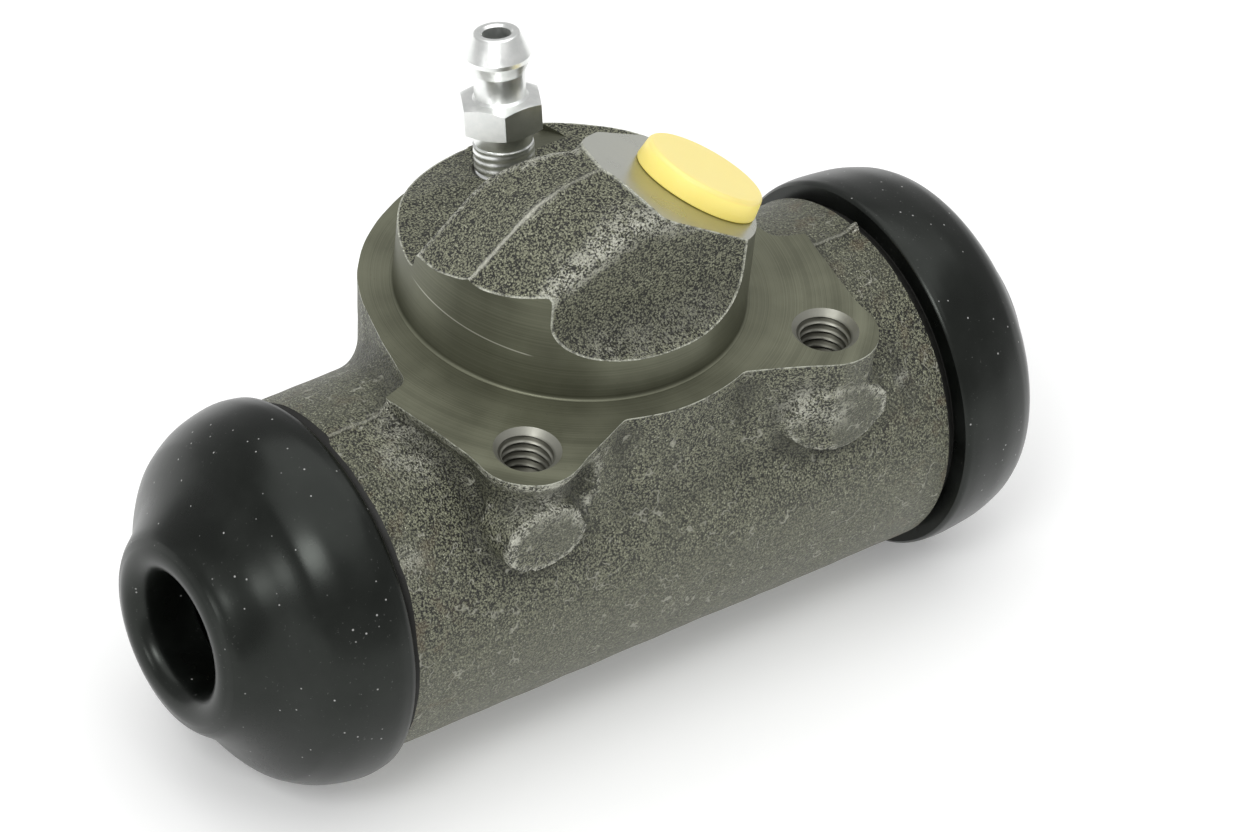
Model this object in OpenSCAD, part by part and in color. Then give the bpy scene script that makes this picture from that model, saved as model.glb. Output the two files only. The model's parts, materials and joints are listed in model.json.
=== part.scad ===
// Wheel cylinder of a drum brake: an iron casting with two opposed pistons.
// Origin: where the spigot axis meets the mounting face.
// +Z runs out along the spigot, +X along the barrel to the port end, -Y to the tapped ears.

/* [Barrel] */
// Diameter of the bore
bore_d = 28.6; // [26:0.1:30]
// Outer diameter of the cast barrel
barrel_d = 38.4; // [37:0.2:42]
// Length of the casting from end face to end face
barrel_len = 82; // [78:1:96]
// Length of the turned seat that a boot grips, at each end
seat_len = 6; // [5.5:0.1:7]
// Step from the cast barrel down to that seat
seat_step = 1.2; // [0.8:0.1:1.8]
// Depth of the groove that holds a boot's bead
groove_depth = 1.2; // [0.6:0.1:1.6]
// Width of that groove
groove_w = 2; // [1.2:0.1:2.4]
// Chamfer at the mouth of the bore
mouth_chamfer = 1; // [0.4:0.1:1.6]
// Drop of the barrel axis below the mounting face
axis_drop = 21.2; // [20.4:0.1:24]
// Offset of the barrel axis towards the ears
axis_offset = 5.3; // [3:0.1:7]

/* [Mounting flange] */
// Diameter of the round part of the flange
flange_d = 43.8; // [41:0.2:46]
// Distance between the two tapped holes
hole_spacing = 37.6; // [35:0.2:40]
// Distance of the tapped holes from the spigot axis
hole_row = 18.9; // [17.5:0.1:20]
// Major diameter of the tapped holes
thread_d = 6; // [5:0.1:6.4]
// Depth of the tapped holes
hole_depth = 8.5; // [6:0.1:9]
// Diameter of the countersink at a tapped hole
sink_d = 6.8; // [6.6:0.1:8]
// Radius of an ear round its hole
ear_r = 5.8; // [5.2:0.1:6.6]
// Depth of the ears and of the wall between them
ear_t = 9; // [7:0.1:10]
// Half width of the flange at the parting line
tip_x = 27; // [26:0.1:29]
// Half width of the flange just behind the parting line
flare_x = 23.2; // [22.6:0.1:24]
// Width of the flat pad below an ear
pad_w = 10.4; // [9:0.1:11]
// Height of that pad
pad_h = 8.2; // [7:0.1:9]
// Depth of the pad's middle below the mounting face
pad_drop = 8.5; // [8:0.1:9.5]

/* [Spigot and boss] */
// Diameter of the turned spigot
spigot_d = 36.5; // [34:0.1:38]
// Height of the spigot's rim at the ear side
rim_front = 5; // [4:0.1:6]
// Height of the spigot's rim at the bleed side
rim_back = 7.2; // [6:0.1:8]
// Height of the boss
boss_h = 20.1; // [19:0.1:22]
// Distance from the spigot axis at which the sloping side meets the top
shoulder_x = 7.8; // [6.5:0.1:9]
// Angle of the sloping side
slope_angle = 41; // [36:0.5:44]
// Draft of the boss on each side of the parting plane
draft_angle = 13; // [6:0.5:15]
// Radius of the hollow at the foot of the boss
scoop_r = 4.4; // [3:0.1:4.6]

/* [Brake pipe port] */
// Tilt of the port away from the spigot axis
port_tilt = 30; // [26:0.5:34]
// Height of the middle of the port face above the mounting face
port_z = 12.4; // [11.8:0.1:13]
// Distance of the middle of the port face from the spigot axis
port_x = 10.7; // [10:0.1:11.4]
// Diameter of the port
port_d = 9; // [8:0.1:10]
// Depth of the port
port_depth = 11; // [10:0.1:13]
// Diameter of the passages into the bore
passage_d = 2.8; // [2:0.1:3.2]

/* [Bleed screw] */
// Tilt of the bleed screw away from the spigot axis
bleed_tilt = 13.4; // [10:0.2:15]
// Distance of the bleed screw from the spigot axis, at its spot face
bleed_y = 12.5; // [12:0.1:13]
// Height of the spot face at the bleed screw
bleed_z = 7.25; // [6.8:0.05:7.6]
// Diameter of the spot face
spot_d = 17; // [14:0.2:17.6]
// Diameter of the screw's thread
screw_d = 6.4; // [5.6:0.1:7]
// Length of the thread below the spot face
screw_depth = 12; // [10:0.1:13]
// Height of the hexagon above the spot face
hex_lift = 4.5; // [4:0.1:6]
// Width of the hexagon across its flats
hex_af = 8; // [7.4:0.1:9]
// Height of the hexagon
hex_h = 3.5; // [3:0.1:5]
// Diameter of the neck above the hexagon
neck_d = 5.4; // [4.8:0.1:6]
// Length of that neck
neck_h = 3; // [2:0.1:4]
// Largest diameter of the hose barb
barb_d = 6.8; // [6.4:0.1:7.4]
// Height of the hose barb
barb_h = 4.3; // [3.5:0.1:5]
// Diameter of the hose barb at its tip
barb_tip_d = 4.7; // [4.2:0.1:5.4]
// Diameter of the hole through the bleed screw
drilling_d = 3; // [2:0.1:3.2]

/* [Transit plug] */
// Diameter of the plug's head
plug_d = 13.8; // [12:0.1:14.4]
// Height of the plug's head
plug_h = 2.4; // [2:0.1:3.5]
// Length of the plug's stem
stem_len = 8; // [5:0.1:9.5]
// Wall of the hollow stem
stem_wall = 1.1; // [0.8:0.1:1.5]

/* [Dust boots] */
// Thickness of a boot's rim over its seat
boot_rim = 2.5; // [2:0.1:4]
// Length of a boot from its rim to its nose
boot_len = 16.2; // [15.8:0.1:19]
// Diameter of the push-rod hole in a boot
boot_hole_d = 13.2; // [11:0.1:14]
// Thickness of the ring round that hole
nose_t = 4.2; // [3.6:0.1:4.6]
// Wall of a boot
boot_wall = 2.2; // [1.8:0.1:2.4]
// Length of the sleeve inside the push-rod hole
sleeve_len = 4.9; // [4:0.1:5.4]

/* [Pistons, cups and spring] */
// Length of a piston
piston_len = 15; // [12:0.1:16]
// Distance of a piston's outer end inside the end face of the casting
piston_inset = 3; // [2.6:0.1:5]
// Diameter of the push-rod socket in a piston
socket_d = 11; // [9:0.1:12]
// Depth of that socket
socket_depth = 8.5; // [6:0.1:9]
// Length of a pressure cup
cup_len = 7; // [6:0.1:8]
// Thickness of a pressure cup's lip
cup_lip = 2.6; // [2:0.1:3]
// Thickness of the sheet of a cup expander
expander_t = 0.8; // [0.6:0.1:1]
// Outer diameter of the return spring
spring_d = 15; // [13:0.1:16]
// Diameter of the spring's wire
wire_d = 1.3; // [1:0.1:1.6]
// Number of turns of the spring
spring_turns = 6; // [5:1:7]

/* [Hidden] */
$fn = 72;

iron = [0.37, 0.36, 0.32];
zinc = [0.75, 0.76, 0.77];
rubber = [0.10, 0.10, 0.10];
yellow = [0.96, 0.86, 0.42];
alloy = [0.66, 0.67, 0.68];
spring_steel = [0.45, 0.46, 0.48];

// Clearances: sliding fits, a turning thread, a loose plug and pieces that seat on each other
slide_gap = 0.04;
thread_gap = 0.05;
plug_gap = 0.3;
seat_gap = 0.1;
// Overlap by which joined or cut solids pass through each other
lap = 0.5;
// Reach of cutting tools and stock beyond the casting
reach = 60;

bore_r = bore_d / 2;
barrel_r = barrel_d / 2;
seat_r = barrel_d / 2 - seat_step;
flange_r = flange_d / 2;
spigot_r = spigot_d / 2;
half_len = barrel_len / 2;
rim_x = half_len - seat_len;
hole_x = hole_spacing / 2;
groove_x = (half_len + rim_x) / 2;

function arc(centre, r, from, to, steps) = [
    for (i = [0:steps])
        let (a = from + (to - from) * i / steps)
            centre + r * [cos(a), sin(a)]
];

// Point and direction at a share t of a curve through a and d with handles b and c
function curve_point(a, b, c, d, t) =
    let (u = 1 - t)
        u * u * u * a + 3 * u * u * t * b + 3 * u * t * t * c + t * t * t * d;

function curve_way(a, b, c, d, t) =
    let (u = 1 - t, way = u * u * (b - a) + 2 * u * t * (c - b) + t * t * (d - c))
        way / norm(way);

function curve(a, b, c, d, steps) = [for (i = [0:steps]) curve_point(a, b, c, d, i / steps)];

// The same curve moved to its left by a wall
function curve_inside(a, b, c, d, steps, wall) = [
    for (i = [0:steps])
        let (way = curve_way(a, b, c, d, i / steps))
            curve_point(a, b, c, d, i / steps) + wall * [-way[1], way[0]]
];

function mirrored(points) = [for (i = [len(points) - 1:-1:0]) [-points[i][0], points[i][1]]];

// Turns a profile of [radius, distance along the barrel] about the barrel axis.
module about_barrel() {
    translate([0, -axis_offset, -axis_drop])
        rotate([0, 90, 0])
            rotate_extrude()
                children();
}

// The right-hand piece as it is, or its mirror image on the left.
module on_side(side) {
    if (side > 0) {
        children();
    } else {
        mirror([1, 0, 0])
            children();
    }
}

// Extrudes a profile of [y, z] along X.
module along_x(from, to) {
    translate([from, 0, 0])
        rotate([90, 0, 90])
            linear_extrude(to - from)
                children();
}

// All that lies above a plane through a point, with the slopes that it has along X and Y.
module above(point, slope_x, slope_y) {
    translate(point)
        rotate([asin(slope_y / norm([slope_x, slope_y, 1])), -atan(slope_x), 0])
            translate([-reach, -reach, 0])
                cube([2 * reach, 2 * reach, reach]);
}

// Frames of the two slanted drillings: their own Z runs outwards from the face they start at.
module at_port() {
    translate([port_x, -axis_offset, port_z])
        rotate([0, port_tilt, 0])
            children();
}

module at_bleed() {
    translate([0, bleed_y, bleed_z])
        rotate([-bleed_tilt, 0, 0])
            children();
}

// Outline of the flange: a disc that flares to the parting line, with an ear at each front corner.
ear_start = -115;
ear_end = 8;
ear_web = -70;
recess_in = [4.2, 3.5];
recess_web = -63;
flare_angle = 22;
notch_r = 2;
notch_start = 262;
notch_lift = 0.8;
ear_centre = [hole_x, -hole_row];
notch_centre = [flare_x + notch_r, notch_lift + notch_r - axis_offset];
flange_side = concat(
    [[tip_x, -axis_offset]],
    arc(notch_centre, notch_r, notch_start, 180, 6),
    arc([0, 0], flange_r, flare_angle, 90, 16)
);
flange_front = arc([0, 0], flange_r, -90, ear_web, 6);
ear_half = concat(flange_front, arc(ear_centre, ear_r, ear_start, ear_end, 16), [[tip_x, -axis_offset]]);
neck_half = concat(
    arc([0, 0], flange_r, -90, recess_web, 8),
    [ear_centre + [-recess_in[0], recess_in[1]], ear_centre + [ear_r, ear_r]],
    flange_side
);

module barrel_stock() {
    chamfer = mouth_chamfer / 2;
    half = [
        [0, 0],
        [barrel_r, 0],
        [barrel_r, rim_x],
        [seat_r, rim_x],
        [seat_r, groove_x - groove_w / 2],
        [seat_r - groove_depth, groove_x - groove_w / 2],
        [seat_r - groove_depth, groove_x + groove_w / 2],
        [seat_r, groove_x + groove_w / 2],
        [seat_r, half_len - chamfer],
        [seat_r - chamfer, half_len],
        [0, half_len]
    ];
    about_barrel()
        polygon(half);
    mirror([1, 0, 0])
        about_barrel()
            polygon(half);
}

// Neck: the flange's outline carried down to the barrel, cut back below the bleed side.
module neck_stock() {
    back_t = 6;
    back_foot_y = barrel_r - axis_offset;
    difference() {
        translate([0, 0, -axis_drop])
            linear_extrude(axis_drop)
                polygon(concat(neck_half, mirrored(neck_half)));
        along_x(-reach, reach)
            polygon([
                [flange_r + lap, -back_t],
                [back_foot_y, -axis_drop],
                [back_foot_y, -reach],
                [reach, -reach],
                [reach, -back_t]
            ]);
    }
}

// Ears and the wall between them, with the lug round each tapped hole and the flat oval pad in front of it.
module ear_stock() {
    pad_y = hole_row + ear_r - lap;
    lug_wall = 2;
    lug_h = pad_drop + pad_h / 2 - lap / 2;
    translate([0, 0, -ear_t])
        linear_extrude(ear_t)
            polygon(concat(ear_half, mirrored(ear_half)));
    for (side = [-1, 1]) {
        translate([side * hole_x, -hole_row, -lug_h])
            cylinder(r = thread_d / 2 + lug_wall, h = lug_h);
        translate([side * hole_x, -pad_y, -pad_drop])
            rotate([-90, 0, 0])
                linear_extrude(pad_y - axis_offset)
                    polygon([for (a = [0:10:350]) [pad_w / 2 * cos(a), pad_h / 2 * sin(a)]]);
    }
}

// Boss before turning: a roof that slopes to the left, with a slanting front wall and a scoop at its foot.
module boss_stock() {
    back_half = 8.6;
    port_half = 10.1;
    waist_x = 2;
    waist_y = 0.4;
    corner_x = 4.3;
    corner_y = 3.4;
    bevel_x = shoulder_x + 1.4;
    front_skew = 6.1;
    front_y = 14.6;
    skew = tan(front_skew) * spigot_r;
    plan = [
        [-spigot_r, skew - front_y],
        [spigot_r, -skew - front_y],
        [spigot_r, port_half - axis_offset],
        [port_x, port_half - axis_offset],
        [corner_x, corner_y],
        [-waist_x, -waist_y],
        [-bevel_x, back_half - axis_offset],
        [-spigot_r, back_half - axis_offset]
    ];
    draft = tan(draft_angle);
    crest_draft = 0.08;
    crest_fall = 0.09;
    top = [-shoulder_x, -axis_offset, boss_h];
    wall_y = -front_y * cos(front_skew);
    scoop_centre = [wall_y - scoop_r, rim_front + scoop_r];
    difference() {
        union() {
            linear_extrude(boss_h)
                polygon(plan);
            rotate([0, 0, -front_skew])
                along_x(-spigot_r, spigot_r)
                    polygon(concat([[wall_y + lap, rim_front], [wall_y + lap, rim_front + scoop_r]],
                        arc(scoop_centre, scoop_r, 0, -90, 12)));
            along_x(-spigot_r, spigot_r)
                polygon([
                    [-spigot_r - lap, 0],
                    [-spigot_r - lap, rim_front],
                    [0, rim_front],
                    [0, rim_back],
                    [spigot_r + lap, rim_back],
                    [spigot_r + lap, 0]
                ]);
        }
        for (side = [-1, 1]) {
            above(top, tan(slope_angle), side * draft);
            above(top, -crest_fall, side * crest_draft);
        }
        at_port()
            translate([-reach, -reach, 0])
                cube([2 * reach, 2 * reach, reach]);
    }
}

// What the machining takes out: the bore, the spot face, the port, the bleed hole and the tapped holes.
module machining() {
    about_barrel()
        translate([0, -half_len - lap])
            square([bore_r, barrel_len + 2 * lap]);
    for (side = [-1, 1])
        on_side(side)
            about_barrel()
                polygon([
                    [0, half_len - mouth_chamfer],
                    [bore_r, half_len - mouth_chamfer],
                    [bore_r + mouth_chamfer, half_len],
                    [bore_r + mouth_chamfer, half_len + lap],
                    [0, half_len + lap]
                ]);
    at_bleed() {
        cylinder(d = spot_d, h = reach);
        bleed_hole();
    }
    at_port()
        port_hole();
    for (side = [-1, 1])
        translate([side * hole_x, -hole_row, 0])
            rotate_extrude()
                polygon([
                    [0, lap],
                    [sink_d / 2 + lap, lap],
                    [thread_d / 2, -(sink_d - thread_d) / 2],
                    [thread_d / 2, -hole_depth],
                    [0, -hole_depth]
                ]);
}

// Bleed hole: thread, conical seat and a passage down into the bore.
module bleed_hole() {
    r = screw_d / 2 + thread_gap;
    seat_drop = r - passage_d / 2;
    rotate_extrude()
        polygon([
            [0, lap],
            [r, lap],
            [r, -screw_depth],
            [passage_d / 2, -screw_depth - seat_drop],
            [passage_d / 2, -axis_drop - bleed_z],
            [0, -axis_drop - bleed_z]
        ]);
}

// Port: a flat-bottomed drilling with a chamfered mouth and a passage down into the bore.
module port_hole() {
    rotate_extrude()
        polygon([
            [0, lap],
            [port_d / 2 + 2 * lap, lap],
            [port_d / 2, -lap],
            [port_d / 2, -port_depth],
            [passage_d / 2, -port_depth],
            [passage_d / 2, -(axis_drop + port_z)],
            [0, -(axis_drop + port_z)]
        ]);
}

module cylinder_body() {
    color(iron)
        difference() {
            union() {
                barrel_stock();
                neck_stock();
                ear_stock();
                intersection() {
                    translate([0, 0, -lap])
                        cylinder(r = spigot_r, h = reach);
                    union() {
                        boss_stock();
                        translate([0, 0, -lap])
                            cylinder(r = spigot_r, h = rim_front);
                    }
                }
            }
            machining();
        }
}

// Bleed screw: thread with a conical point, hexagon, neck and hose barb, drilled from the top.
module bleed_screw() {
    r = screw_d / 2;
    point_h = r - passage_d / 2;
    hex_top = hex_lift + hex_h;
    barb_foot = hex_top + neck_h;
    barb_cone = 1.3;
    barb_land = 0.6;
    barb_wide = barb_foot + barb_cone;
    top = barb_foot + barb_h;
    corner_r = hex_af / 2 / cos(30);
    bevel = corner_r - hex_af / 2;
    mouth = 0.2;
    cross_d = 1.6;
    drilling_end = -screw_depth + point_h;
    color(zinc)
        at_bleed()
            difference() {
                union() {
                    rotate_extrude()
                        polygon([
                            [0, seat_gap - screw_depth - point_h],
                            [passage_d / 2, seat_gap - screw_depth - point_h],
                            [r, seat_gap - screw_depth],
                            [r, hex_lift + lap],
                            [0, hex_lift + lap]
                        ]);
                    rotate_extrude()
                        polygon([
                            [0, hex_top - lap],
                            [neck_d / 2, hex_top - lap],
                            [neck_d / 2, barb_foot],
                            [barb_d / 2, barb_wide],
                            [barb_d / 2, barb_wide + barb_land],
                            [barb_tip_d / 2, top],
                            [0, top]
                        ]);
                    intersection() {
                        translate([0, 0, hex_lift])
                            cylinder(r = corner_r, h = hex_h, $fn = 6);
                        rotate_extrude()
                            polygon([
                                [0, hex_lift],
                                [corner_r - bevel, hex_lift],
                                [corner_r, hex_lift + bevel],
                                [corner_r, hex_top - bevel],
                                [corner_r - bevel, hex_top],
                                [0, hex_top]
                            ]);
                    }
                }
                rotate_extrude()
                    polygon([
                        [0, drilling_end],
                        [drilling_d / 2, drilling_end],
                        [drilling_d / 2, top - mouth],
                        [drilling_d / 2 + mouth, top],
                        [drilling_d / 2 + mouth, top + lap],
                        [0, top + lap]
                    ]);
                translate([0, 0, drilling_end + cross_d])
                    rotate([90, 0, 0])
                        cylinder(d = cross_d, h = 2 * screw_d, center = true);
            }
}

// Transit plug: a flat head with a rounded edge on a hollow stem.
module port_plug() {
    head_r = plug_d / 2;
    stem_r = port_d / 2 - plug_gap;
    round_r = 0.5;
    taper = 0.25;
    color(yellow)
        at_port()
            rotate_extrude()
                polygon(concat(
                    [[0, seat_gap + plug_h]],
                    arc([head_r - taper - round_r, seat_gap + plug_h - round_r], round_r, 90, 0, 6),
                    [
                        [head_r, seat_gap],
                        [stem_r, seat_gap],
                        [stem_r, -stem_len],
                        [stem_r - stem_wall, -stem_len],
                        [stem_r - stem_wall, seat_gap],
                        [0, seat_gap]
                    ]
                ));
}

// Dust boot: a domed rubber cap whose bead sits in the groove and whose nose turns in to a sleeve.
module boot(side) {
    rim_r = seat_r + boot_rim;
    nose_r = nose_t / 2;
    nose_mid_r = boot_hole_d / 2 + nose_r;
    nose_x = rim_x + boot_len - nose_r;
    lip = 0.5;
    inner_r = seat_r + seat_gap / 2;
    bead_r = seat_r - groove_depth + seat_gap;
    bead_half = groove_w / 2 - seat_gap;
    sleeve_r = boot_hole_d / 2;
    sleeve_end = nose_x - sleeve_len;
    crown_from = 0.55 * boot_len;
    crown_to = 0.74 * boot_len;
    crown_in = 5.5;
    cheek_in = 1;
    nose_start = 20;
    steps = 14;
    shell_x = half_len + seat_gap;
    dome_rim = [rim_r, rim_x + 2 * lip];
    dome_cheek = [rim_r - cheek_in, rim_x + crown_from];
    dome_crown = [rim_r - crown_in, rim_x + crown_to];
    dome_end = [nose_mid_r + nose_r, nose_x - nose_r / 2];
    lining = curve_inside(dome_rim, dome_cheek, dome_crown, dome_end, steps, boot_wall);
    outside = concat(
        [[inner_r, rim_x + seat_gap]],
        [[rim_r - lip, rim_x + seat_gap], [rim_r, rim_x + seat_gap + lip]],
        curve(dome_rim, dome_cheek, dome_crown, dome_end, steps),
        arc([nose_mid_r, nose_x], nose_r, nose_start, 180, 12)
    );
    inside = concat(
        [
            [sleeve_r, sleeve_end],
            [sleeve_r + boot_wall, sleeve_end],
            [sleeve_r + boot_wall, lining[steps][1]]
        ],
        [for (i = [steps:-1:0]) if (lining[i][1] > shell_x) lining[i]],
        [
            [inner_r, shell_x],
            [inner_r, groove_x + bead_half],
            [bead_r, groove_x + bead_half],
            [bead_r, groove_x - bead_half],
            [inner_r, groove_x - bead_half]
        ]
    );
    color(rubber)
        on_side(side)
            about_barrel()
                polygon(concat(outside, inside));
}

module left_boot() {
    boot(-1);
}

module right_boot() {
    boot(1);
}

// Inner train, from the end of the barrel towards its middle
piston_out = half_len - piston_inset;
piston_in = piston_out - piston_len;
cup_in = piston_in - cup_len;
cup_floor = 0.45 * cup_len;
expander_r = bore_r - cup_lip - seat_gap;
expander_in = piston_in - cup_floor - seat_gap - expander_t;

// Piston: a turned slug with a waist groove and a round-bottomed push-rod socket.
module piston(side) {
    r = bore_r - slide_gap;
    edge = 0.6;
    waist_d = 1;
    waist_from = piston_in + 0.35 * piston_len;
    waist_to = piston_in + 0.6 * piston_len;
    socket_r = socket_d / 2;
    floor_r = socket_r / 2;
    floor_x = piston_out - socket_depth;
    color(alloy)
        on_side(side)
            about_barrel()
                polygon(concat(
                    [
                        [0, piston_in],
                        [r - edge, piston_in],
                        [r, piston_in + edge],
                        [r, waist_from],
                        [r - waist_d, waist_from + waist_d],
                        [r - waist_d, waist_to - waist_d],
                        [r, waist_to],
                        [r, piston_out - edge],
                        [r - edge, piston_out],
                        [socket_r, piston_out]
                    ],
                    arc([socket_r - floor_r, floor_x + floor_r], floor_r, 0, -90, 8),
                    [[0, floor_x]]
                ));
}

module left_piston() {
    piston(-1);
}

module right_piston() {
    piston(1);
}

// Pressure cup: a flat back on the piston and a lip that opens towards the fluid.
module cup(side) {
    r = bore_r - slide_gap;
    heel = 0.8;
    root_r = r - cup_lip;
    tip_t = 0.4 * cup_lip;
    color(rubber)
        on_side(side)
            about_barrel()
                polygon([
                    [0, piston_in - seat_gap],
                    [r - heel, piston_in - seat_gap],
                    [r - heel / 2, piston_in - seat_gap - heel],
                    [r, cup_in + heel],
                    [r - heel / 2, cup_in],
                    [r - tip_t, cup_in],
                    [root_r, piston_in - cup_floor],
                    [0, piston_in - cup_floor]
                ]);
}

module left_cup() {
    cup(-1);
}

module right_cup() {
    cup(1);
}

// Cup expander: a pressed dish that spreads the lip, with a raised middle that centres the spring.
module expander(side) {
    pip_r = spring_d / 2 - wire_d - seat_gap;
    pip_h = 2;
    slope = 0.5;
    back = expander_in + expander_t;
    color(zinc)
        on_side(side)
            about_barrel()
                polygon([
                    [0, back],
                    [expander_r - slope, back],
                    [expander_r, back - slope],
                    [expander_r, expander_in - slope],
                    [expander_r - expander_t, expander_in - slope],
                    [expander_r - expander_t - slope, expander_in],
                    [pip_r, expander_in],
                    [pip_r - slope, expander_in - pip_h],
                    [0, expander_in - pip_h]
                ]);
}

module left_expander() {
    expander(-1);
}

module right_expander() {
    expander(1);
}

// Return spring: a round wire swept along a helix between the two expanders.
module return_spring() {
    sides = 8;
    steps = 16;
    wire_r = wire_d / 2;
    coil_r = spring_d / 2 - wire_r;
    half = expander_in - wire_r - seat_gap;
    rings = spring_turns * steps;
    pitch_angle = atan(2 * half / spring_turns / (2 * PI * coil_r));
    points = [
        for (i = [0:rings], k = [0:sides - 1])
            let (
                turn = 360 * i / steps,
                a = 360 * k / sides,
                out = coil_r + wire_r * cos(a),
                rise = wire_r * sin(a)
            )
                [
                    -half + 2 * half * i / rings + rise * cos(pitch_angle),
                    out * cos(turn) + rise * sin(pitch_angle) * sin(turn),
                    out * sin(turn) - rise * sin(pitch_angle) * cos(turn)
                ]
    ];
    skin = [
        for (i = [0:rings - 1], k = [0:sides - 1])
            [
                i * sides + k,
                i * sides + (k + 1) % sides,
                (i + 1) * sides + (k + 1) % sides,
                (i + 1) * sides + k
            ]
    ];
    first_end = [for (k = [sides - 1:-1:0]) k];
    last_end = [for (k = [0:sides - 1]) rings * sides + k];
    color(spring_steel)
        translate([0, -axis_offset, -axis_drop])
            polyhedron(points, concat(skin, [first_end], [last_end]));
}

cylinder_body();
bleed_screw();
port_plug();
left_boot();
right_boot();
left_piston();
right_piston();
left_cup();
right_cup();
left_expander();
right_expander();
return_spring();
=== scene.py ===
"""Looks of a drum-brake wheel cylinder: a sand-cast iron body with turned faces, a zinc bleed screw,
a yellow transit plug, black rubber boots and the train of pieces that slides in its bore.

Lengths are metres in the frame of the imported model: +Z out along the spigot, +X to the port end."""
import json
import math

import bmesh
import bpy
import numpy as np
from bpy.props import FloatProperty, FloatVectorProperty, IntProperty, PointerProperty
from bpy.types import Operator, Panel, PropertyGroup
from mathutils import Matrix, Vector


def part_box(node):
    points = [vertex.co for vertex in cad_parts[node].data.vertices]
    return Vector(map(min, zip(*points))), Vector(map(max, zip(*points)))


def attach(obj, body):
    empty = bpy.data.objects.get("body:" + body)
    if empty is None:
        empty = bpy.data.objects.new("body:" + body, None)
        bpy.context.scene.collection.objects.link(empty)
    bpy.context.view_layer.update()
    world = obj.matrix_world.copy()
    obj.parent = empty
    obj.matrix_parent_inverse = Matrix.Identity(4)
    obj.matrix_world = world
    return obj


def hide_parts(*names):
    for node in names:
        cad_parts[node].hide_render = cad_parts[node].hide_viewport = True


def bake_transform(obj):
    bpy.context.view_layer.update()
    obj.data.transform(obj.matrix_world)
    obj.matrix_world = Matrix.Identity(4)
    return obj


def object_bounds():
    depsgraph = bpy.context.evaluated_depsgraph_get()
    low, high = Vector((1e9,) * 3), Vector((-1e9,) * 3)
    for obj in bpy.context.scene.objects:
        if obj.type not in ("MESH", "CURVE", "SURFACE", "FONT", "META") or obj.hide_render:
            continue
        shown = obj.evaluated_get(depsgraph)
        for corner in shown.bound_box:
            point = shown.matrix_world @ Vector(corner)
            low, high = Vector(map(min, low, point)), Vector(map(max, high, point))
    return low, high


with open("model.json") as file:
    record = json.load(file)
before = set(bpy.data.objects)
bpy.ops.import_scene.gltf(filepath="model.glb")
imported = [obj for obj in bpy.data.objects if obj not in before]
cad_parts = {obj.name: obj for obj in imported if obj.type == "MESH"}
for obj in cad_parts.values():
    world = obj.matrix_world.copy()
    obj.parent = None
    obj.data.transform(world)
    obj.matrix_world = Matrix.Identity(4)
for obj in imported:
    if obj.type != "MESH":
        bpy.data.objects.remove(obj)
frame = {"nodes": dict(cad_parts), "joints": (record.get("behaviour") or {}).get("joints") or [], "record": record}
CAD_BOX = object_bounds()

bl_info = {
    "name": "Wheel Cylinder Looks",
    "version": (1, 0, 0),
    "blender": (4, 5, 0),
    "location": "3D View > Sidebar > Wheel Cylinder",
    "description": "Builds the visible surfaces of a wheel cylinder on its packed frame",
    "category": "Object",
}

MM = 0.001

# Places taken from the frame
MOUNTS = {mount["name"]: mount for mount in frame["record"]["mounts"]}
JOINTS = {joint["name"]: joint for joint in frame["joints"]}
BOOT_LO, BOOT_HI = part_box("right_boot")
BODY_LO, BODY_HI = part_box("cylinder_body")
SPRING_LO, SPRING_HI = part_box("return_spring")
AXIS_Y = (BOOT_LO.y + BOOT_HI.y) / 2
AXIS_Z = (BOOT_LO.z + BOOT_HI.z) / 2
HALF_LEN = BODY_HI.x
RIM_X = BOOT_LO.x
NOSE_X = BOOT_HI.x
FLANGE_R = BODY_HI.y
TIP_X = 27 * MM
SPIGOT_R = MOUNTS["spigot"]["dims"]["r_mm"] * MM
HOLE_X = MOUNTS["mount_threads"]["dims"]["spacing_x_mm"] * MM / 2
HOLE_Y = MOUNTS["mount_threads"]["pos_m"][1]
PORT_R = MOUNTS["inlet_port"]["dims"]["r_mm"] * MM
FLOOR_Z = CAD_BOX[0].z


def frame_along(place, axis):
    """Matrix whose Z runs along an axis and whose X is as near to the model's X as it can be."""
    along = Vector(axis).normalized()
    across = Vector((1, 0, 0)) if abs(along.x) < 0.9 else Vector((0, 1, 0))
    across = (across - along * across.dot(along)).normalized()
    third = along.cross(across)
    matrix = Matrix((across, third, along)).transposed().to_4x4()
    matrix.translation = Vector(place)
    return matrix


PORT_FRAME = frame_along(MOUNTS["inlet_port"]["pos_m"], MOUNTS["inlet_port"]["axis"])
BLEED_FRAME = frame_along(JOINTS["bleed_screw_turn"]["pos_m"], JOINTS["bleed_screw_turn"]["axis"])
BARREL_FRAME = frame_along((0, AXIS_Y, AXIS_Z), (1, 0, 0))
SPIGOT_FRAME = Matrix.Identity(4)


def number(name, description, default, **kind):
    """A number that a user may change; kind gives its unit or subtype."""
    return FloatProperty(name=name, description=description, default=default, **kind)


def length(name, description, default):
    """A length that a user may change; its default is in millimetres."""
    return number(name, description, default * MM, unit="LENGTH", precision=5)


def whole(name, description, default):
    """A whole number that a user may change."""
    return IntProperty(name=name, description=description, default=default, subtype="UNSIGNED")


def colour(name, description, *default):
    """A colour that a user may change, in linear light."""
    return FloatVectorProperty(
        name=name, description=description, size=3, default=default, subtype="COLOR", min=0, max=1)


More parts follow.
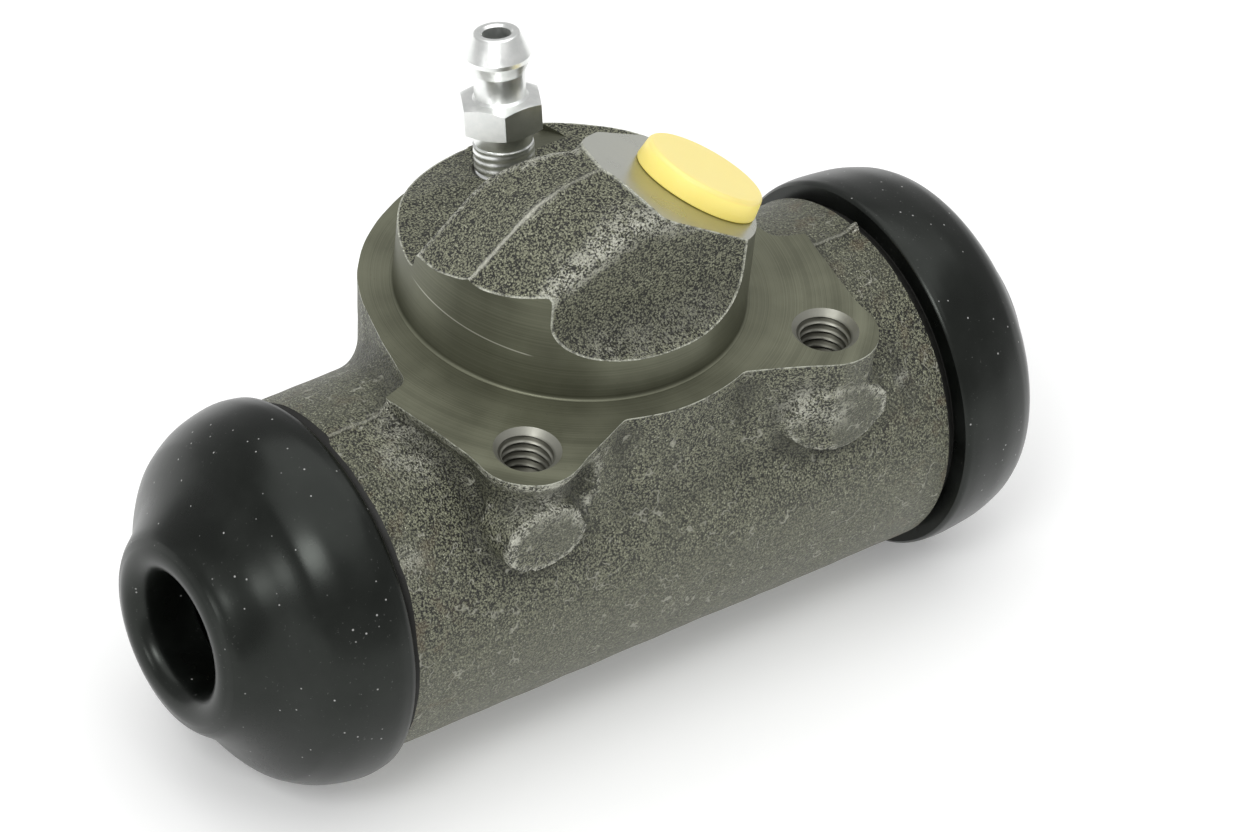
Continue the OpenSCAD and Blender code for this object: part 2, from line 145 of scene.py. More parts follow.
class CastingSettings(PropertyGroup):
    """Sizes of the casting's skin and of its machining, and the colours of its iron"""

    voxel: length("Voxel", "Spacing of the grid the casting is meshed on", 0.5)
    stock: length("Stock", "Metal left on the rough casting for the machining", 1.2)
    barrel_radius: length("Barrel radius", "Radius of the cast barrel", 19.2)
    bore_radius: length("Bore radius", "Radius of the bore", 14.3)
    neck_fillet: length("Neck fillet", "Radius between the neck and the barrel", 1.6)
    edge_round: length("Edge round", "Radius of the cast edges", 0.9)
    scoop_radius: length("Scoop radius", "Radius at the foot of the boss", 4.4)
    parting_height: length("Parting ridge", "Height of the ridge on the parting plane", 0.15)
    parting_step: length("Parting step", "Step between the two halves of the mould", 0.22)
    skin_depth: length("Skin depth", "Depth of the waviness of the sand-cast skin", 0.12)
    thread_pitch: length("Thread pitch", "Pitch of the tapped holes", 1)
    seed: whole("Seed", "Seed of the skin's waviness", 7)
    skin_dark: colour("Skin, dark", "Colour between the grains of the cast skin", 0.007, 0.0075, 0.005)
    skin_light: colour("Skin, light", "Colour of the grains of the cast skin", 0.228, 0.233, 0.158)
    bare: colour("Bare iron", "Colour of the cast skin where it is worn", 0.58, 0.58, 0.50)
    turned_dark: colour("Turned, dark", "Darker colour of the turned faces", 0.112, 0.115, 0.080)
    turned_light: colour("Turned, light", "Lighter colour of the turned faces", 0.208, 0.213, 0.153)


class BootSettings(PropertyGroup):
    """Sizes and colours of the rubber boots"""

    hole_radius: length("Hole radius", "Radius of the push-rod hole", 6.6)
    nose_radius: length("Nose radius", "Radius of the ring round the hole", 2.1)
    wall: length("Wall", "Thickness of the rubber", 2.2)
    sleeve: length("Sleeve", "Length of the sleeve inside the hole", 4.9)
    seat_radius: length("Seat radius", "Radius of the seat the rubber grips", 18.05)
    bead_radius: length("Bead radius", "Radius of the bead in the groove", 16.9)
    segments: whole("Segments", "Steps round a boot", 160)
    rubber_dark: colour("Rubber, dark", "Darker colour of the rubber", 0.0030, 0.0036, 0.0030)
    rubber_light: colour("Rubber, light", "Lighter colour of the rubber", 0.0080, 0.0090, 0.0080)
    dust: colour("Dust", "Colour of the dust on the rubber", 0.45, 0.45, 0.44)


class BleedSettings(PropertyGroup):
    """Sizes of the bleed screw, measured along its axis from the spot face, and colours of its plating"""

    shank_radius: length("Shank radius", "Radius over the thread", 3.2)
    pitch: length("Pitch", "Pitch of the screw's thread", 0.8)
    depth: length("Depth", "Depth of the screw below the spot face", 11.9)
    hex_lift: length("Hexagon lift", "Height of the hexagon above the spot face", 4.5)
    hex_flats: length("Across flats", "Width of the hexagon across its flats", 8)
    hex_height: length("Hexagon height", "Height of the hexagon", 3.5)
    neck_radius: length("Neck radius", "Radius of the hose neck", 2.7)
    barb_radius: length("Barb radius", "Largest radius of the hose barb", 3.4)
    drilling_radius: length("Drilling radius", "Radius of the drilling from the top", 1.5)
    zinc_dark: colour("Zinc, dark", "Darker colour of the plating", 0.89, 0.91, 0.89)
    zinc_light: colour("Zinc, light", "Lighter colour of the plating", 0.96, 0.97, 0.95)


class PlugSettings(PropertyGroup):
    """Sizes of the transit plug, measured along the port axis from the port face, and its colours"""

    head_radius: length("Head radius", "Radius of the plug's head", 6.9)
    head_height: length("Head height", "Height of the plug's head", 2.4)
    lift: length("Lift", "Gap between the head and the port face", 0.1)
    stem_radius: length("Stem radius", "Radius of the hollow stem", 4.2)
    stem_length: length("Stem length", "Length of the hollow stem", 8)
    wall: length("Wall", "Wall of the hollow stem", 1.1)
    yellow_dark: colour("Yellow, dark", "Darker colour of the moulding", 0.95, 0.78, 0.24)
    yellow_light: colour("Yellow, light", "Lighter colour of the moulding", 0.97, 0.82, 0.29)


class TrainSettings(PropertyGroup):
    """Sizes of the return spring between the two piston sets"""

    wire_radius: length("Wire radius", "Radius of the spring's wire", 0.65)
    turns: number("Turns", "Turns of the spring", 6)


class StageSettings(PropertyGroup):
    """Camera and lights"""

    azimuth: number("Azimuth", "Direction the camera looks from", math.radians(-39.69), unit="ROTATION")
    elevation: number("Elevation", "Height of the camera above the horizon", math.radians(38.79),
                      unit="ROTATION")
    distance: number("Distance", "Distance of the camera from the origin", 718.6 * MM, unit="LENGTH")
    lens: number("Lens", "Focal length", 201.9, subtype="DISTANCE_CAMERA")
    aim: FloatVectorProperty(name="Aim", description="Point in the middle of the picture", size=3,
                             default=(0.324 * MM, -10.58 * MM, -9.874 * MM),
                             subtype="TRANSLATION", precision=5)
    up: FloatVectorProperty(name="Up", description="Direction that is up in the picture", size=3,
                            default=(0.3140, 0.5487, 0.7748), subtype="DIRECTION")
    key_power: number("Key", "Power of the high light on the left", 2.2, unit="POWER")
    side_power: number("Side", "Power of the low light on the left", 0.6, unit="POWER")
    top_power: number("Top", "Power of the overhead light", 6.4, unit="POWER")
    sky: number("Sky", "Brightness of the surroundings", 0.5, subtype="FACTOR")


# Shaders: sockets take part in plain expressions


def feed(tree, target, value):
    """Gives a socket a value, or links it to the wire that makes one."""
    if isinstance(value, Wire):
        tree.links.new(value.socket, target)
    elif target.type == "RGBA" and len(value) == 3:
        target.default_value = (*value, 1)
    else:
        target.default_value = value


def arithmetic(operation, swapped=False):
    """A method of Wire for one operator; swapped puts the other value first."""
    def method(self, other):
        return self.maths(operation, *((other, self) if swapped else (self, other)))
    return method


class Wire:
    """An output of a shader node; arithmetic on it adds Math nodes."""

    def __init__(self, tree, socket):
        self.tree = tree
        self.socket = socket

    def maths(self, operation, *values):
        node = self.tree.nodes.new("ShaderNodeMath")
        node.operation = operation
        for target, value in zip(node.inputs, values):
            feed(self.tree, target, value)
        return Wire(self.tree, node.outputs[0])

    __add__ = arithmetic("ADD")
    __radd__ = arithmetic("ADD", True)
    __sub__ = arithmetic("SUBTRACT")
    __rsub__ = arithmetic("SUBTRACT", True)
    __mul__ = arithmetic("MULTIPLY")
    __rmul__ = arithmetic("MULTIPLY", True)
    __pow__ = arithmetic("POWER")
    least = arithmetic("MINIMUM")
    most = arithmetic("MAXIMUM")

    def __neg__(self):
        return self.maths("MULTIPLY", self, -1)

    def __abs__(self):
        return self.maths("ABSOLUTE", self)


class Paint:
    """A material under construction."""

    def __init__(self, name):
        self.material = bpy.data.materials.new(name)
        self.material.use_nodes = True
        self.tree = self.material.node_tree
        self.surface = self.tree.nodes["Principled BSDF"]
        self.place = self.node("TexCoord", output="Object")

    def node(self, kind, settings=None, sockets=None, output=0):
        """A node of one kind: its settings come first, then the values or links of its sockets."""
        node = self.tree.nodes.new("ShaderNode" + kind)
        for name, value in (settings or {}).items():
            setattr(node, name, value)
        for name, value in (sockets or {}).items():
            feed(self.tree, node.inputs[name], value)
        return Wire(self.tree, node.outputs[output])

    def noise(self, size, detail=2, roughness=0.5):
        """Noise from 0 to 1 whose lumps are about one size across, in millimetres."""
        return self.node("TexNoise", {}, {
            "Vector": self.place, "Scale": 1 / (size * MM), "Detail": detail, "Roughness": roughness})

    def lines(self, value, size, detail):
        """Noise from 0 to 1 along a length, with lines about one size across, in millimetres."""
        return self.node("TexNoise", {"noise_dimensions": "1D"}, {
            "W": value, "Scale": 1 / (size * MM), "Detail": detail})

    def cells(self, size, output="Distance"):
        """Cells about one size across, in millimetres: the distance to the middle or the colour of each."""
        return self.node("TexVoronoi", {}, {"Vector": self.place, "Scale": 1 / (size * MM)}, output)

    def pick(self, size):
        """A value of its own for each of these cells."""
        return self.node("SeparateColor", {}, {"Color": self.cells(size, "Color")}, "Red")

    def step(self, value, start, end, low=0.0, high=1.0):
        """Smooth step of a value from low at start to high at end."""
        return self.node("MapRange", {"interpolation_type": "SMOOTHSTEP"}, {
            "Value": value, "From Min": start, "From Max": end, "To Min": low, "To Max": high})

    def along(self, value, start, end):
        """Smooth step of a length from 0 at start to 1 at end, both in millimetres."""
        return self.step(value, start * MM, end * MM)

    def mix(self, factor, first, second):
        """Colour between two colours."""
        return self.node("MixRGB", {}, {"Fac": factor, "Color1": first, "Color2": second})

    def axes(self):
        """The three coordinates of the place."""
        parts = self.tree.nodes.new("ShaderNodeSeparateXYZ")
        feed(self.tree, parts.inputs[0], self.place)
        return [Wire(self.tree, socket) for socket in parts.outputs]

    def bump(self, height, distance, strength=0.5):
        """Relief as deep as a distance in millimetres."""
        return self.node("Bump", {}, {"Height": height, "Distance": distance * MM, "Strength": strength})

    def attribute(self, name):
        """A value kept on the mesh's own points."""
        return self.node("Attribute", {"attribute_name": name}, output="Fac")

    def finish(self, **sockets):
        """Feeds the surface's sockets and hands the material over."""
        for name, value in sockets.items():
            feed(self.tree, self.surface.inputs[name.replace("_", " ")], value)
        return self.material


def cut_edges(p, x, y, z):
    """Thin line on the cast skin along the edges that the machining has cut, painted bright as cut metal and
    partly as a highlight on the edge.
    """
    width = 0.24 * MM
    full = 0.3 * width
    port = PORT_FRAME.translation
    tilt = PORT_FRAME.col[2]
    above_port = (x - port.x) * tilt.x + (z - port.z) * tilt.z
    flange = p.step(z, -width, -full) * p.along(z, 0.4, 0.2)
    spigot = p.step((x * x + y * y) ** 0.5, SPIGOT_R - width, SPIGOT_R - full) * p.along(z, 0.2, 0.4)
    face = p.step(above_port, -width, -full) * p.along(z, 9, 10)
    return flange.most(spigot).most(face)


def cast_iron(s):
    """Sand-cast skin: dark olive grey with a fine glittering grain, bright where it is worn or cut, partly as
    painted highlights, and with painted shade in its creases.
    """
    grain_size = 0.24
    even, crease_shade_tone, brown = (0.105, 0.108, 0.078), (0.016, 0.0165, 0.012), (0.12, 0.085, 0.048)
    flake, worm = (0.44, 0.45, 0.34), (0.40, 0.40, 0.33)
    ridge, cut_metal_and_highlight = (0.55, 0.55, 0.47), (0.62, 0.63, 0.54)
    p = Paint("cast_iron")
    fine = p.noise(grain_size / 2, 1, 0.6)
    grain = p.noise(grain_size, 2, 0.6)
    lumps = p.noise(1.1, 3, 0.6)
    blotch = p.noise(7, 3, 0.55)
    hollow = p.cells(grain_size)
    tint = p.pick(grain_size)
    wear_and_highlight = p.attribute("wear_and_highlight")
    crease_shade = p.attribute("crease_shade")
    x, y, z = p.axes()
    head = p.along(z, -1, 2)
    low = p.along(z, -12, -22) * p.along(y, -10, -19)
    pad = p.along(y, -24.2, -24.4)
    behind = p.along(y, -5, -3) * (1 - head)
    speckle = 0.4 * grain + 0.25 * fine + 0.25 * (1 - hollow) + 0.1 * lumps
    skin = p.mix(p.step(speckle, 0.44, 0.57), s.skin_dark, s.skin_light)
    plain = p.step(blotch, 0.38, 0.68) * (0.4 - 0.35 * head)
    plain = plain.most(0.55 * low).most(0.6 * pad).most(0.45 * behind)
    skin = p.mix(plain, skin, even)
    # Painted shade: the skin is darkened in its creases and hollows.
    skin = p.mix(crease_shade * 0.45, skin, crease_shade_tone)
    flakes = p.step(tint + 0.5 * (blotch - 0.5) + 0.5 * (lumps - 0.5), 0.80, 0.92) * p.step(hollow, 0.5, 0.3)
    skin = p.mix(flakes * (0.65 - 0.2 * low) * (1 - 0.7 * crease_shade), skin, flake)
    worms = p.step(abs(p.noise(2.6, 2) - 0.5), 0.020, 0.006)
    worms = worms * p.step(p.noise(1.9, 1), 0.52, 0.6) * (1 - head)
    skin = p.mix(worms * 0.6, skin, worm)
    rust = p.step(p.noise(3, 3, 0.6), 0.52, 0.72) * p.along(abs(x), 24, 33) * 0.5
    skin = p.mix(rust, skin, brown)
    # Worn skin shows bare iron; part of it is painted highlight, on edges and on patches that face the light.
    rubbed_and_highlit = wear_and_highlight * p.step(0.6 * grain + 0.4 * lumps, 0.44, 0.56)
    skin = p.mix(rubbed_and_highlit * 0.8, skin, s.bare)
    # The parting seam is painted brighter; on the step between the boss's facets the added brightness is a painted
    # highlight.
    seam = p.along(abs(y - AXIS_Y + 0.5 * MM * (lumps - 0.5)), 0.36, 0.1)
    skin = p.mix(seam * (0.25 + 0.4 * head * p.along(x, -6, -10)), skin, ridge)
    # Cut edges painted bright: cut metal, partly a painted highlight on the edge.
    edge = cut_edges(p, x, y, z) * p.step(lumps, 0.3, 0.55)
    skin = p.mix(edge * 0.85, skin, cut_metal_and_highlight)
    height = (0.4 * grain + 0.3 * lumps + 0.3 * (1 - hollow)) * (1 - 0.5 * low) + 0.35 * worms + 0.5 * seam
    return p.finish(
        Base_Color=skin,
        Metallic=p.step(flakes + rubbed_and_highlit + edge, 0.1, 0.9, 0.2, 0.7),
        Roughness=0.5 - 0.14 * flakes - 0.1 * rubbed_and_highlit.least(1.0),
        Specular_IOR_Level=0.6,
        Normal=p.bump(height, 0.5, 1.0))


def turned_iron(s):
    """Turned faces of the flange and the spigot: smooth, with fine arcs of the tool round the spigot axis, painted
    shade above the flange face and a tool line painted as a highlight.
    """
    pit, wall, bright = (0.07, 0.07, 0.053), (0.07, 0.073, 0.05), (0.55, 0.55, 0.47)
    groove_lead, groove_z = 1.3 * MM, 3.87 * MM
    p = Paint("turned_iron")
    x, y, z = p.axes()
    radius = (x * x + y * y) ** 0.5
    path = radius + 0.6 * z
    arcs = p.lines(path, 0.14, 3)
    bands = p.lines(path, 2.2, 1)
    pits = p.step(p.noise(0.32, 1), 0.72, 0.80)
    smears = p.noise(7, 3, 0.55)
    tone = p.mix(p.step(0.3 * arcs + 0.3 * bands + 0.4 * smears, 0.3, 0.7), s.turned_dark, s.turned_light)
    tone = p.mix(pits * 0.4, tone, pit)
    # Painted shade: the turned faces above the flange face, the spigot's wall and the spot face, are darkened.
    tone = p.mix(0.3 * p.along(z, 0.2, 0.6), tone, wall)
    # A helical tool line round the spigot's wall, painted bright as a highlight.
    around = x.maths("ARCTAN2", x, -y)
    groove = p.along(abs(z + groove_lead * around - groove_z), 0.11, 0.04)
    groove = groove * p.step(around, -0.84, -0.90) * p.step(around, -1.8, -1.6) * p.along(radius, 18, 18.1)
    tone = p.mix(groove * 0.7, tone, bright)
    return p.finish(
        Base_Color=tone,
        Metallic=0.8,
        Roughness=0.36 + 0.14 * smears + 0.06 * arcs,
        Normal=p.bump(arcs - 0.6 * pits, 0.012, 0.4))


def faced_iron():
    """Faced port surface: lighter, with the smears of the tool."""
    p = Paint("faced_iron")
    smears = p.noise(6, 2, 0.5)
    fine = p.noise(0.25, 2)
    tone = p.mix(p.step(0.8 * smears + 0.2 * fine, 0.3, 0.7), (0.32, 0.325, 0.28), (0.37, 0.375, 0.325))
    return p.finish(
        Base_Color=tone,
        Metallic=0.85,
        Roughness=0.24 + 0.08 * smears,
        Normal=p.bump(fine, 0.008))


def gap_shadow_iron():
    """Turned seat under a boot and its chamfer, painted black as the shadow in the gap between the boot and the
    casting.
    """
    p = Paint("gap_shadow_iron")
    smear = p.noise(1.5, 3, 0.6)
    return p.finish(
        Base_Color=p.mix(smear, (0.004, 0.004, 0.0035), (0.016, 0.016, 0.013)),
        Roughness=0.45 + 0.3 * smear,
        Normal=p.bump(smear, 0.05, 0.6))


def bored_iron():
    """Drillings and tapped holes: dark, brighter on the countersink, with painted highlights on the crests of the
    threads that fade deeper into the hole.
    """
    p = Paint("bored_iron")
    x, y, z = p.axes()
    across = abs(x) - HOLE_X
    beside = y - HOLE_Y
    from_axis = (across * across + beside * beside) ** 0.5
    # Painted highlight on the thread crests, strongest near the mouth.
    crest = p.along(from_axis, 2.8, 2.58) * p.along(z, -6, -0.5)
    sink = p.along(z, -0.9, -0.5) * p.along(from_axis, 4, 3.8)
    stain = p.noise(1.2, 3, 0.6)
    tone = p.mix(stain, (0.055, 0.054, 0.042), (0.105, 0.104, 0.082))
    return p.finish(
        Base_Color=p.mix((crest * 0.75).most(sink * 0.55), tone, (0.48, 0.48, 0.42)),
        Metallic=0.8,
        Roughness=0.36 + 0.2 * stain,
        Normal=p.bump(stain, 0.02))


def zinc_steel(s):
    """Zinc plating: bright and slightly mottled."""
    p = Paint("zinc_steel")
    mottle = p.noise(0.9, 3, 0.6)
    fine = p.noise(0.2, 1)
    return p.finish(
        Base_Color=p.mix(p.step(mottle, 0.3, 0.7), s.zinc_dark, s.zinc_light),
        Metallic=1.0,
        Roughness=0.25 + 0.15 * mottle,
        Normal=p.bump(0.6 * mottle + 0.4 * fine, 0.008))


def plug_plastic(s):
    """Yellow moulding with a soft sheen and small scuffs; its rim and side glow with painted light."""
    tilt_x, tilt_z = 0.5, 0.866
    face = 16.09 * MM
    p = Paint("plug_plastic")
    cloud = p.noise(4, 2)
    scuff = p.step(p.noise(0.35, 3, 0.65), 0.62, 0.74)
    x, _, z = p.axes()
    # Painted light: the rim and side of the head emit a little yellow glow.
    glow = p.along(tilt_x * x + tilt_z * z - face, 2.3, 1.9)
    tone = p.mix(cloud, s.yellow_dark, s.yellow_light)
    return p.finish(
        Base_Color=p.mix(scuff * 0.18, tone, (0.95, 0.88, 0.5)),
        Roughness=0.36 + 0.2 * scuff + 0.1 * cloud,
        Subsurface_Weight=0.15,
        Subsurface_Radius=(2 * MM, 1.4 * MM, 0.4 * MM),
        Emission_Color=p.mix(glow, (0, 0, 0), (0.17, 0.14, 0.008)),
        Emission_Strength=1,
        Normal=p.bump(cloud + 0.15 * scuff, 0.03))


def boot_rubber(s):
    """Moulded black rubber with a soft sheen and pale dust."""
    speck = 1.2
    p = Paint("boot_rubber")
    bloom = p.noise(7, 3, 0.55)
    fine = p.noise(0.3, 2)
    dust = p.step(p.cells(speck), 0.05 + 0.13 * bloom, 0.03) * p.step(p.pick(speck), 0.5, 0.56)
    lint = p.step(p.noise(0.4, 2, 0.7), 0.66, 0.74) * p.step(bloom, 0.4, 0.55)
    tone = p.mix(p.step(bloom, 0.35, 0.7), s.rubber_dark, s.rubber_light)
    tone = p.mix(lint * 0.3, tone, (0.14, 0.14, 0.135))
    return p.finish(
        Base_Color=p.mix(dust * 0.85, tone, s.dust),
        Roughness=0.23 + 0.12 * bloom + 0.3 * dust,
        Specular_IOR_Level=0.32,
        Specular_Tint=(0.93, 1.0, 0.93),
        Normal=p.bump(0.7 * bloom + 0.12 * fine + 0.2 * dust, 0.05))


def bore_metal(name, dark, light, roughness):
    """Turned or drawn metal of a piece inside the bore, with fine rings along the barrel."""
    p = Paint(name)
    rings = p.lines(p.axes()[0], 0.2, 2)
    mottle = p.noise(1.8, 3, 0.55)
    return p.finish(
        Base_Color=p.mix(p.step(0.5 * rings + 0.5 * mottle, 0.3, 0.7), dark, light),
        Metallic=0.95,
        Roughness=roughness + 0.15 * mottle,
        Normal=p.bump(rings + 0.5 * mottle, 0.015))


def cup_rubber():
    """Smooth rubber of the pressure cups, wet with assembly paste."""
    p = Paint("cup_rubber")
    bloom = p.noise(3, 3)
    tone = p.mix(bloom, (0.010, 0.010, 0.010), (0.024, 0.023, 0.022))
    return p.finish(Base_Color=tone, Roughness=0.28 + 0.2 * bloom, Normal=p.bump(bloom, 0.02))


def floor_paper():
    """White paper under the object, lit a little from behind so that its shadow stays pale."""
    glow = 0.2
    p = Paint("floor_paper")
    return p.finish(
        Base_Color=p.mix(p.noise(30, 2), (0.86, 0.865, 0.86), (0.88, 0.885, 0.88)),
        Roughness=0.9,
        Emission_Color=(glow, glow, glow),
        Emission_Strength=1)


# Meshes


def add_object(name, mesh, matrix=None):
    """Puts a mesh into the scene, with its place in its own points."""
    if matrix is not None:
        mesh.transform(matrix)
    obj = bpy.data.objects.new(name, mesh)
    bpy.context.scene.collection.objects.link(obj)
    return obj


def mesh_of(name, points, faces, materials=()):
    """A mesh with its normals outwards."""
    mesh = bpy.data.meshes.new(name)
    mesh.from_pydata([tuple(point) for point in points], [], [tuple(face) for face in faces])
    made = bmesh.new()
    made.from_mesh(mesh)
    bmesh.ops.recalc_face_normals(made, faces=made.faces)
    made.to_mesh(mesh)
    made.free()
    for material in materials:
        mesh.materials.append(material)
    return mesh


def smooth(mesh, degrees):
    """Smooth shading, with edges sharper than an angle and the borders between finishes left sharp."""
    mesh.shade_smooth()
    mesh.set_sharp_from_angle(angle=math.radians(degrees))
    if len(mesh.materials) < 2:
        return
    finishes = {}
    for face in mesh.polygons:
        for key in face.edge_keys:
            finishes.setdefault(key, set()).add(face.material_index)
    for edge in mesh.edges:
        if len(finishes[edge.key]) > 1:
            edge.use_edge_sharp = True


def turn(name, profile, segments, matrix, materials=(), radius_at=None):
    """Turns a profile of (radius, height) about an axis. A profile that starts and ends on the axis is
    closed there, and any other is closed on itself. radius_at may vary the radius round the axis."""
    points, rows, faces = [], [], []
    for radius, height in profile:
        if radius < 1e-9:
            rows.append([len(points)] * segments)
            points.append((0, 0, height))
            continue
        rows.append(list(range(len(points), len(points) + segments)))
        for i in range(segments):
            angle = 2 * math.pi * i / segments
            r = radius_at(radius, height, angle) if radius_at else radius
            points.append((r * math.cos(angle), r * math.sin(angle), height))
    pairs = list(zip(rows, rows[1:]))
    if profile[0][0] > 1e-9:
        pairs.append((rows[-1], rows[0]))
    for low, high in pairs:
        for i in range(segments):
            j = (i + 1) % segments
            face = []
            for index in (low[i], low[j], high[j], high[i]):
                if index not in face:
                    face.append(index)
            if len(face) > 2:
                faces.append(face)
    mesh = mesh_of(name, points, faces, materials)
    mesh.transform(matrix)
    return mesh


def arc(centre, radius, start, end, steps):
    """Points of an arc, with its angles in degrees."""
    angles = [math.radians(start + (end - start) * i / steps) for i in range(steps + 1)]
    return [(centre[0] + radius * math.cos(a), centre[1] + radius * math.sin(a)) for a in angles]


def thread_radius(low, high, pitch):
    """Radius of a thread at a height and an angle: a wave between its root and its crest."""
    steepness, root = 2.6, 0.15

    def radius(_, height, angle):
        phase = (height / pitch - angle / (2 * math.pi)) % 1
        wave = min(max(steepness * abs(phase - 0.5) - root, 0), 1)
        return low + (high - low) * wave
    return radius


def cut(mesh, tools, operation="DIFFERENCE"):
    """The mesh after a row of solid operations with tool meshes."""
    body = add_object("work", mesh)
    helpers = []
    for tool in tools:
        helper = add_object("tool", tool)
        helpers.append(helper)
        step = body.modifiers.new("cut", "BOOLEAN")
        step.operation = operation
        step.solver = "MANIFOLD"
        step.material_mode = "TRANSFER"
        step.object = helper
    graph = bpy.context.evaluated_depsgraph_get()
    result = bpy.data.meshes.new_from_object(body.evaluated_get(graph))
    for helper in [body, *helpers]:
        bpy.data.objects.remove(helper)
    if not result.polygons:
        raise RuntimeError("a solid operation left nothing")
    return result


# The rough casting as a field of distances


def join(first, second, radius):
    """Union of two fields with a fillet."""
    near = np.hypot(np.maximum(radius - first, 0), np.maximum(radius - second, 0))
    return np.maximum(radius, np.minimum(first, second)) - near


def common(first, second, radius):
    """Intersection of two fields with a rounded edge."""
    return -join(-first, -second, radius)


def outline_distance(points, x, y):
    """Distance of the points (x, y) from a closed outline, negative inside."""
    best = np.full(np.broadcast(x, y).shape, np.inf)
    inside = np.zeros(best.shape, bool)
    for (ax, ay), (bx, by) in zip(points, points[1:] + points[:1]):
        ex, ey = bx - ax, by - ay
        if ex * ex + ey * ey < 1e-16:
            continue
        wx, wy = x - ax, y - ay
        t = np.clip((wx * ex + wy * ey) / (ex * ex + ey * ey), 0, 1)
        best = np.minimum(best, (wx - ex * t) ** 2 + (wy - ey * t) ** 2)
        if ey:
            inside ^= ((ay > y) != (by > y)) & (wx < ex * wy / ey)
    return np.where(inside, -1, 1) * np.sqrt(best)


def ramp(value, start, span):
    """Straight rise from nothing to one over a span."""
    return np.clip((value - start) / span, 0, 1)


def rise(value, start, end):
    """Smooth rise from nothing to one between two places."""
    share = ramp(value, start, end - start)
    return share * share * (3 - 2 * share)


def waviness(shape, cells, seed):
    """Smooth noise on a grid, about one step deviation high, with lumps some cells across."""
    spectrum = np.fft.rfftn(np.random.default_rng(seed).standard_normal(shape))
    for axis, count in enumerate(shape):
        waves = np.fft.rfftfreq(count) if axis == 2 else np.fft.fftfreq(count)
        fade = np.exp(-2 * (math.pi * waves * cells / 2) ** 2)
        spectrum *= fade.reshape([-1 if a == axis else 1 for a in range(3)])
    field = np.fft.irfftn(spectrum, shape)
    return field / field.std()


def flange_outline():
    """Outline of the flange: a disc that flares to the parting line, with an ear at each front corner."""
    ear_r = 5.8 * MM
    flare = 23.2 * MM
    notch_r = 2 * MM
    notch = (flare + notch_r, AXIS_Y + 2.8 * MM)
    front = arc((0, 0), FLANGE_R, -90, -70, 8)
    ear = arc((HOLE_X, HOLE_Y), ear_r, -115, 8, 20)
    side = [(TIP_X, AXIS_Y)] + arc(notch, notch_r, 262, 180, 6) + arc((0, 0), FLANGE_R, 22, 90, 24)
    half = front + ear + side
    return half + [(-x, y) for x, y in reversed(half)]


# Ovals of the pads on the ears: place and half width of each along the barrel, then height and half height
LEFT_PAD, RIGHT_PAD = (-19.4 * MM, 5.4 * MM), (18.0 * MM, 6.5 * MM)
PAD_Z, PAD_TALL = -7.8 * MM, 4.1 * MM
FRONT_RAMP = 6 * MM


def pad_oval(x, z):
    """How far a point lies outside the oval of the pad on an ear, as a share of the oval."""
    left, right = [(x - middle) / half for middle, half in (LEFT_PAD, RIGHT_PAD)]
    return np.hypot(np.where(x < 0, left, right), (z - PAD_Z) / PAD_TALL) - 1


def under_face(z):
    """0 at the face of the flange, 1 well below it."""
    return rise(-z, 0.4 * MM, 2.8 * MM)


def neck_field(s, x, y, z):
    """Distance from the neck: the flange's outline drawn down, slimmer at the waist and beside the ears."""
    waist_z, waist_round = -9 * MM, 2 * MM
    draft = 0.07
    undercut = 1.3 * MM
    left_ramp, right_ramp, ear_ramp = (12 * MM, 16 * MM), (19 * MM, 23 * MM), (5.3 * MM, 8.3 * MM)
    back_y, back_z, back_cos, back_sin, back_round = 22.4 * MM, -6 * MM, 0.873, 0.488, 1.5 * MM
    below_waist = waist_z - z
    inset = (below_waist + np.hypot(below_waist, waist_round)) / 2 * rise(-y, 0, FRONT_RAMP)
    inset = inset - draft * np.minimum(z, 0)
    beside = np.where(x < 0, rise(-x, *left_ramp), rise(x, *right_ramp)) * rise(-y, *ear_ramp)
    outline = outline_distance(flange_outline(), x, y)
    neck = np.maximum(outline + inset + undercut * under_face(z) * beside, z - s.stock)
    back = (y - back_y) * back_cos - (z - back_z) * back_sin
    return np.maximum(common(neck, back + 0 * x, back_round), AXIS_Z - z)


def lug_field(s, x, y, z):
    """Distance from the lugs that carry the ears."""
    lug_r, foot, foot_round = 5.4 * MM, -11.6 * MM, 1.0 * MM
    left_waist, right_waist = 1.0 * MM, -0.2 * MM
    lugs = np.hypot(np.abs(x) - HOLE_X, y - HOLE_Y) - lug_r
    lugs = lugs + np.where(x < 0, left_waist, right_waist) * under_face(z)
    return np.maximum(common(lugs, foot - z, foot_round), z - s.stock)


def pad_field(x, y, z):
    """Distance from the pads on the lugs; the right one slants back on its inner side."""
    front, edge = -24.65 * MM, 0.35 * MM
    slope, slope_x, slope_long = 0.34, 17.5 * MM, 8 * MM
    slant = slope * np.clip(slope_x - x, 0, slope_long) * (x > 0)
    return np.maximum(common(pad_oval(x, z) * PAD_TALL, front + slant - y, edge), y - HOLE_Y)


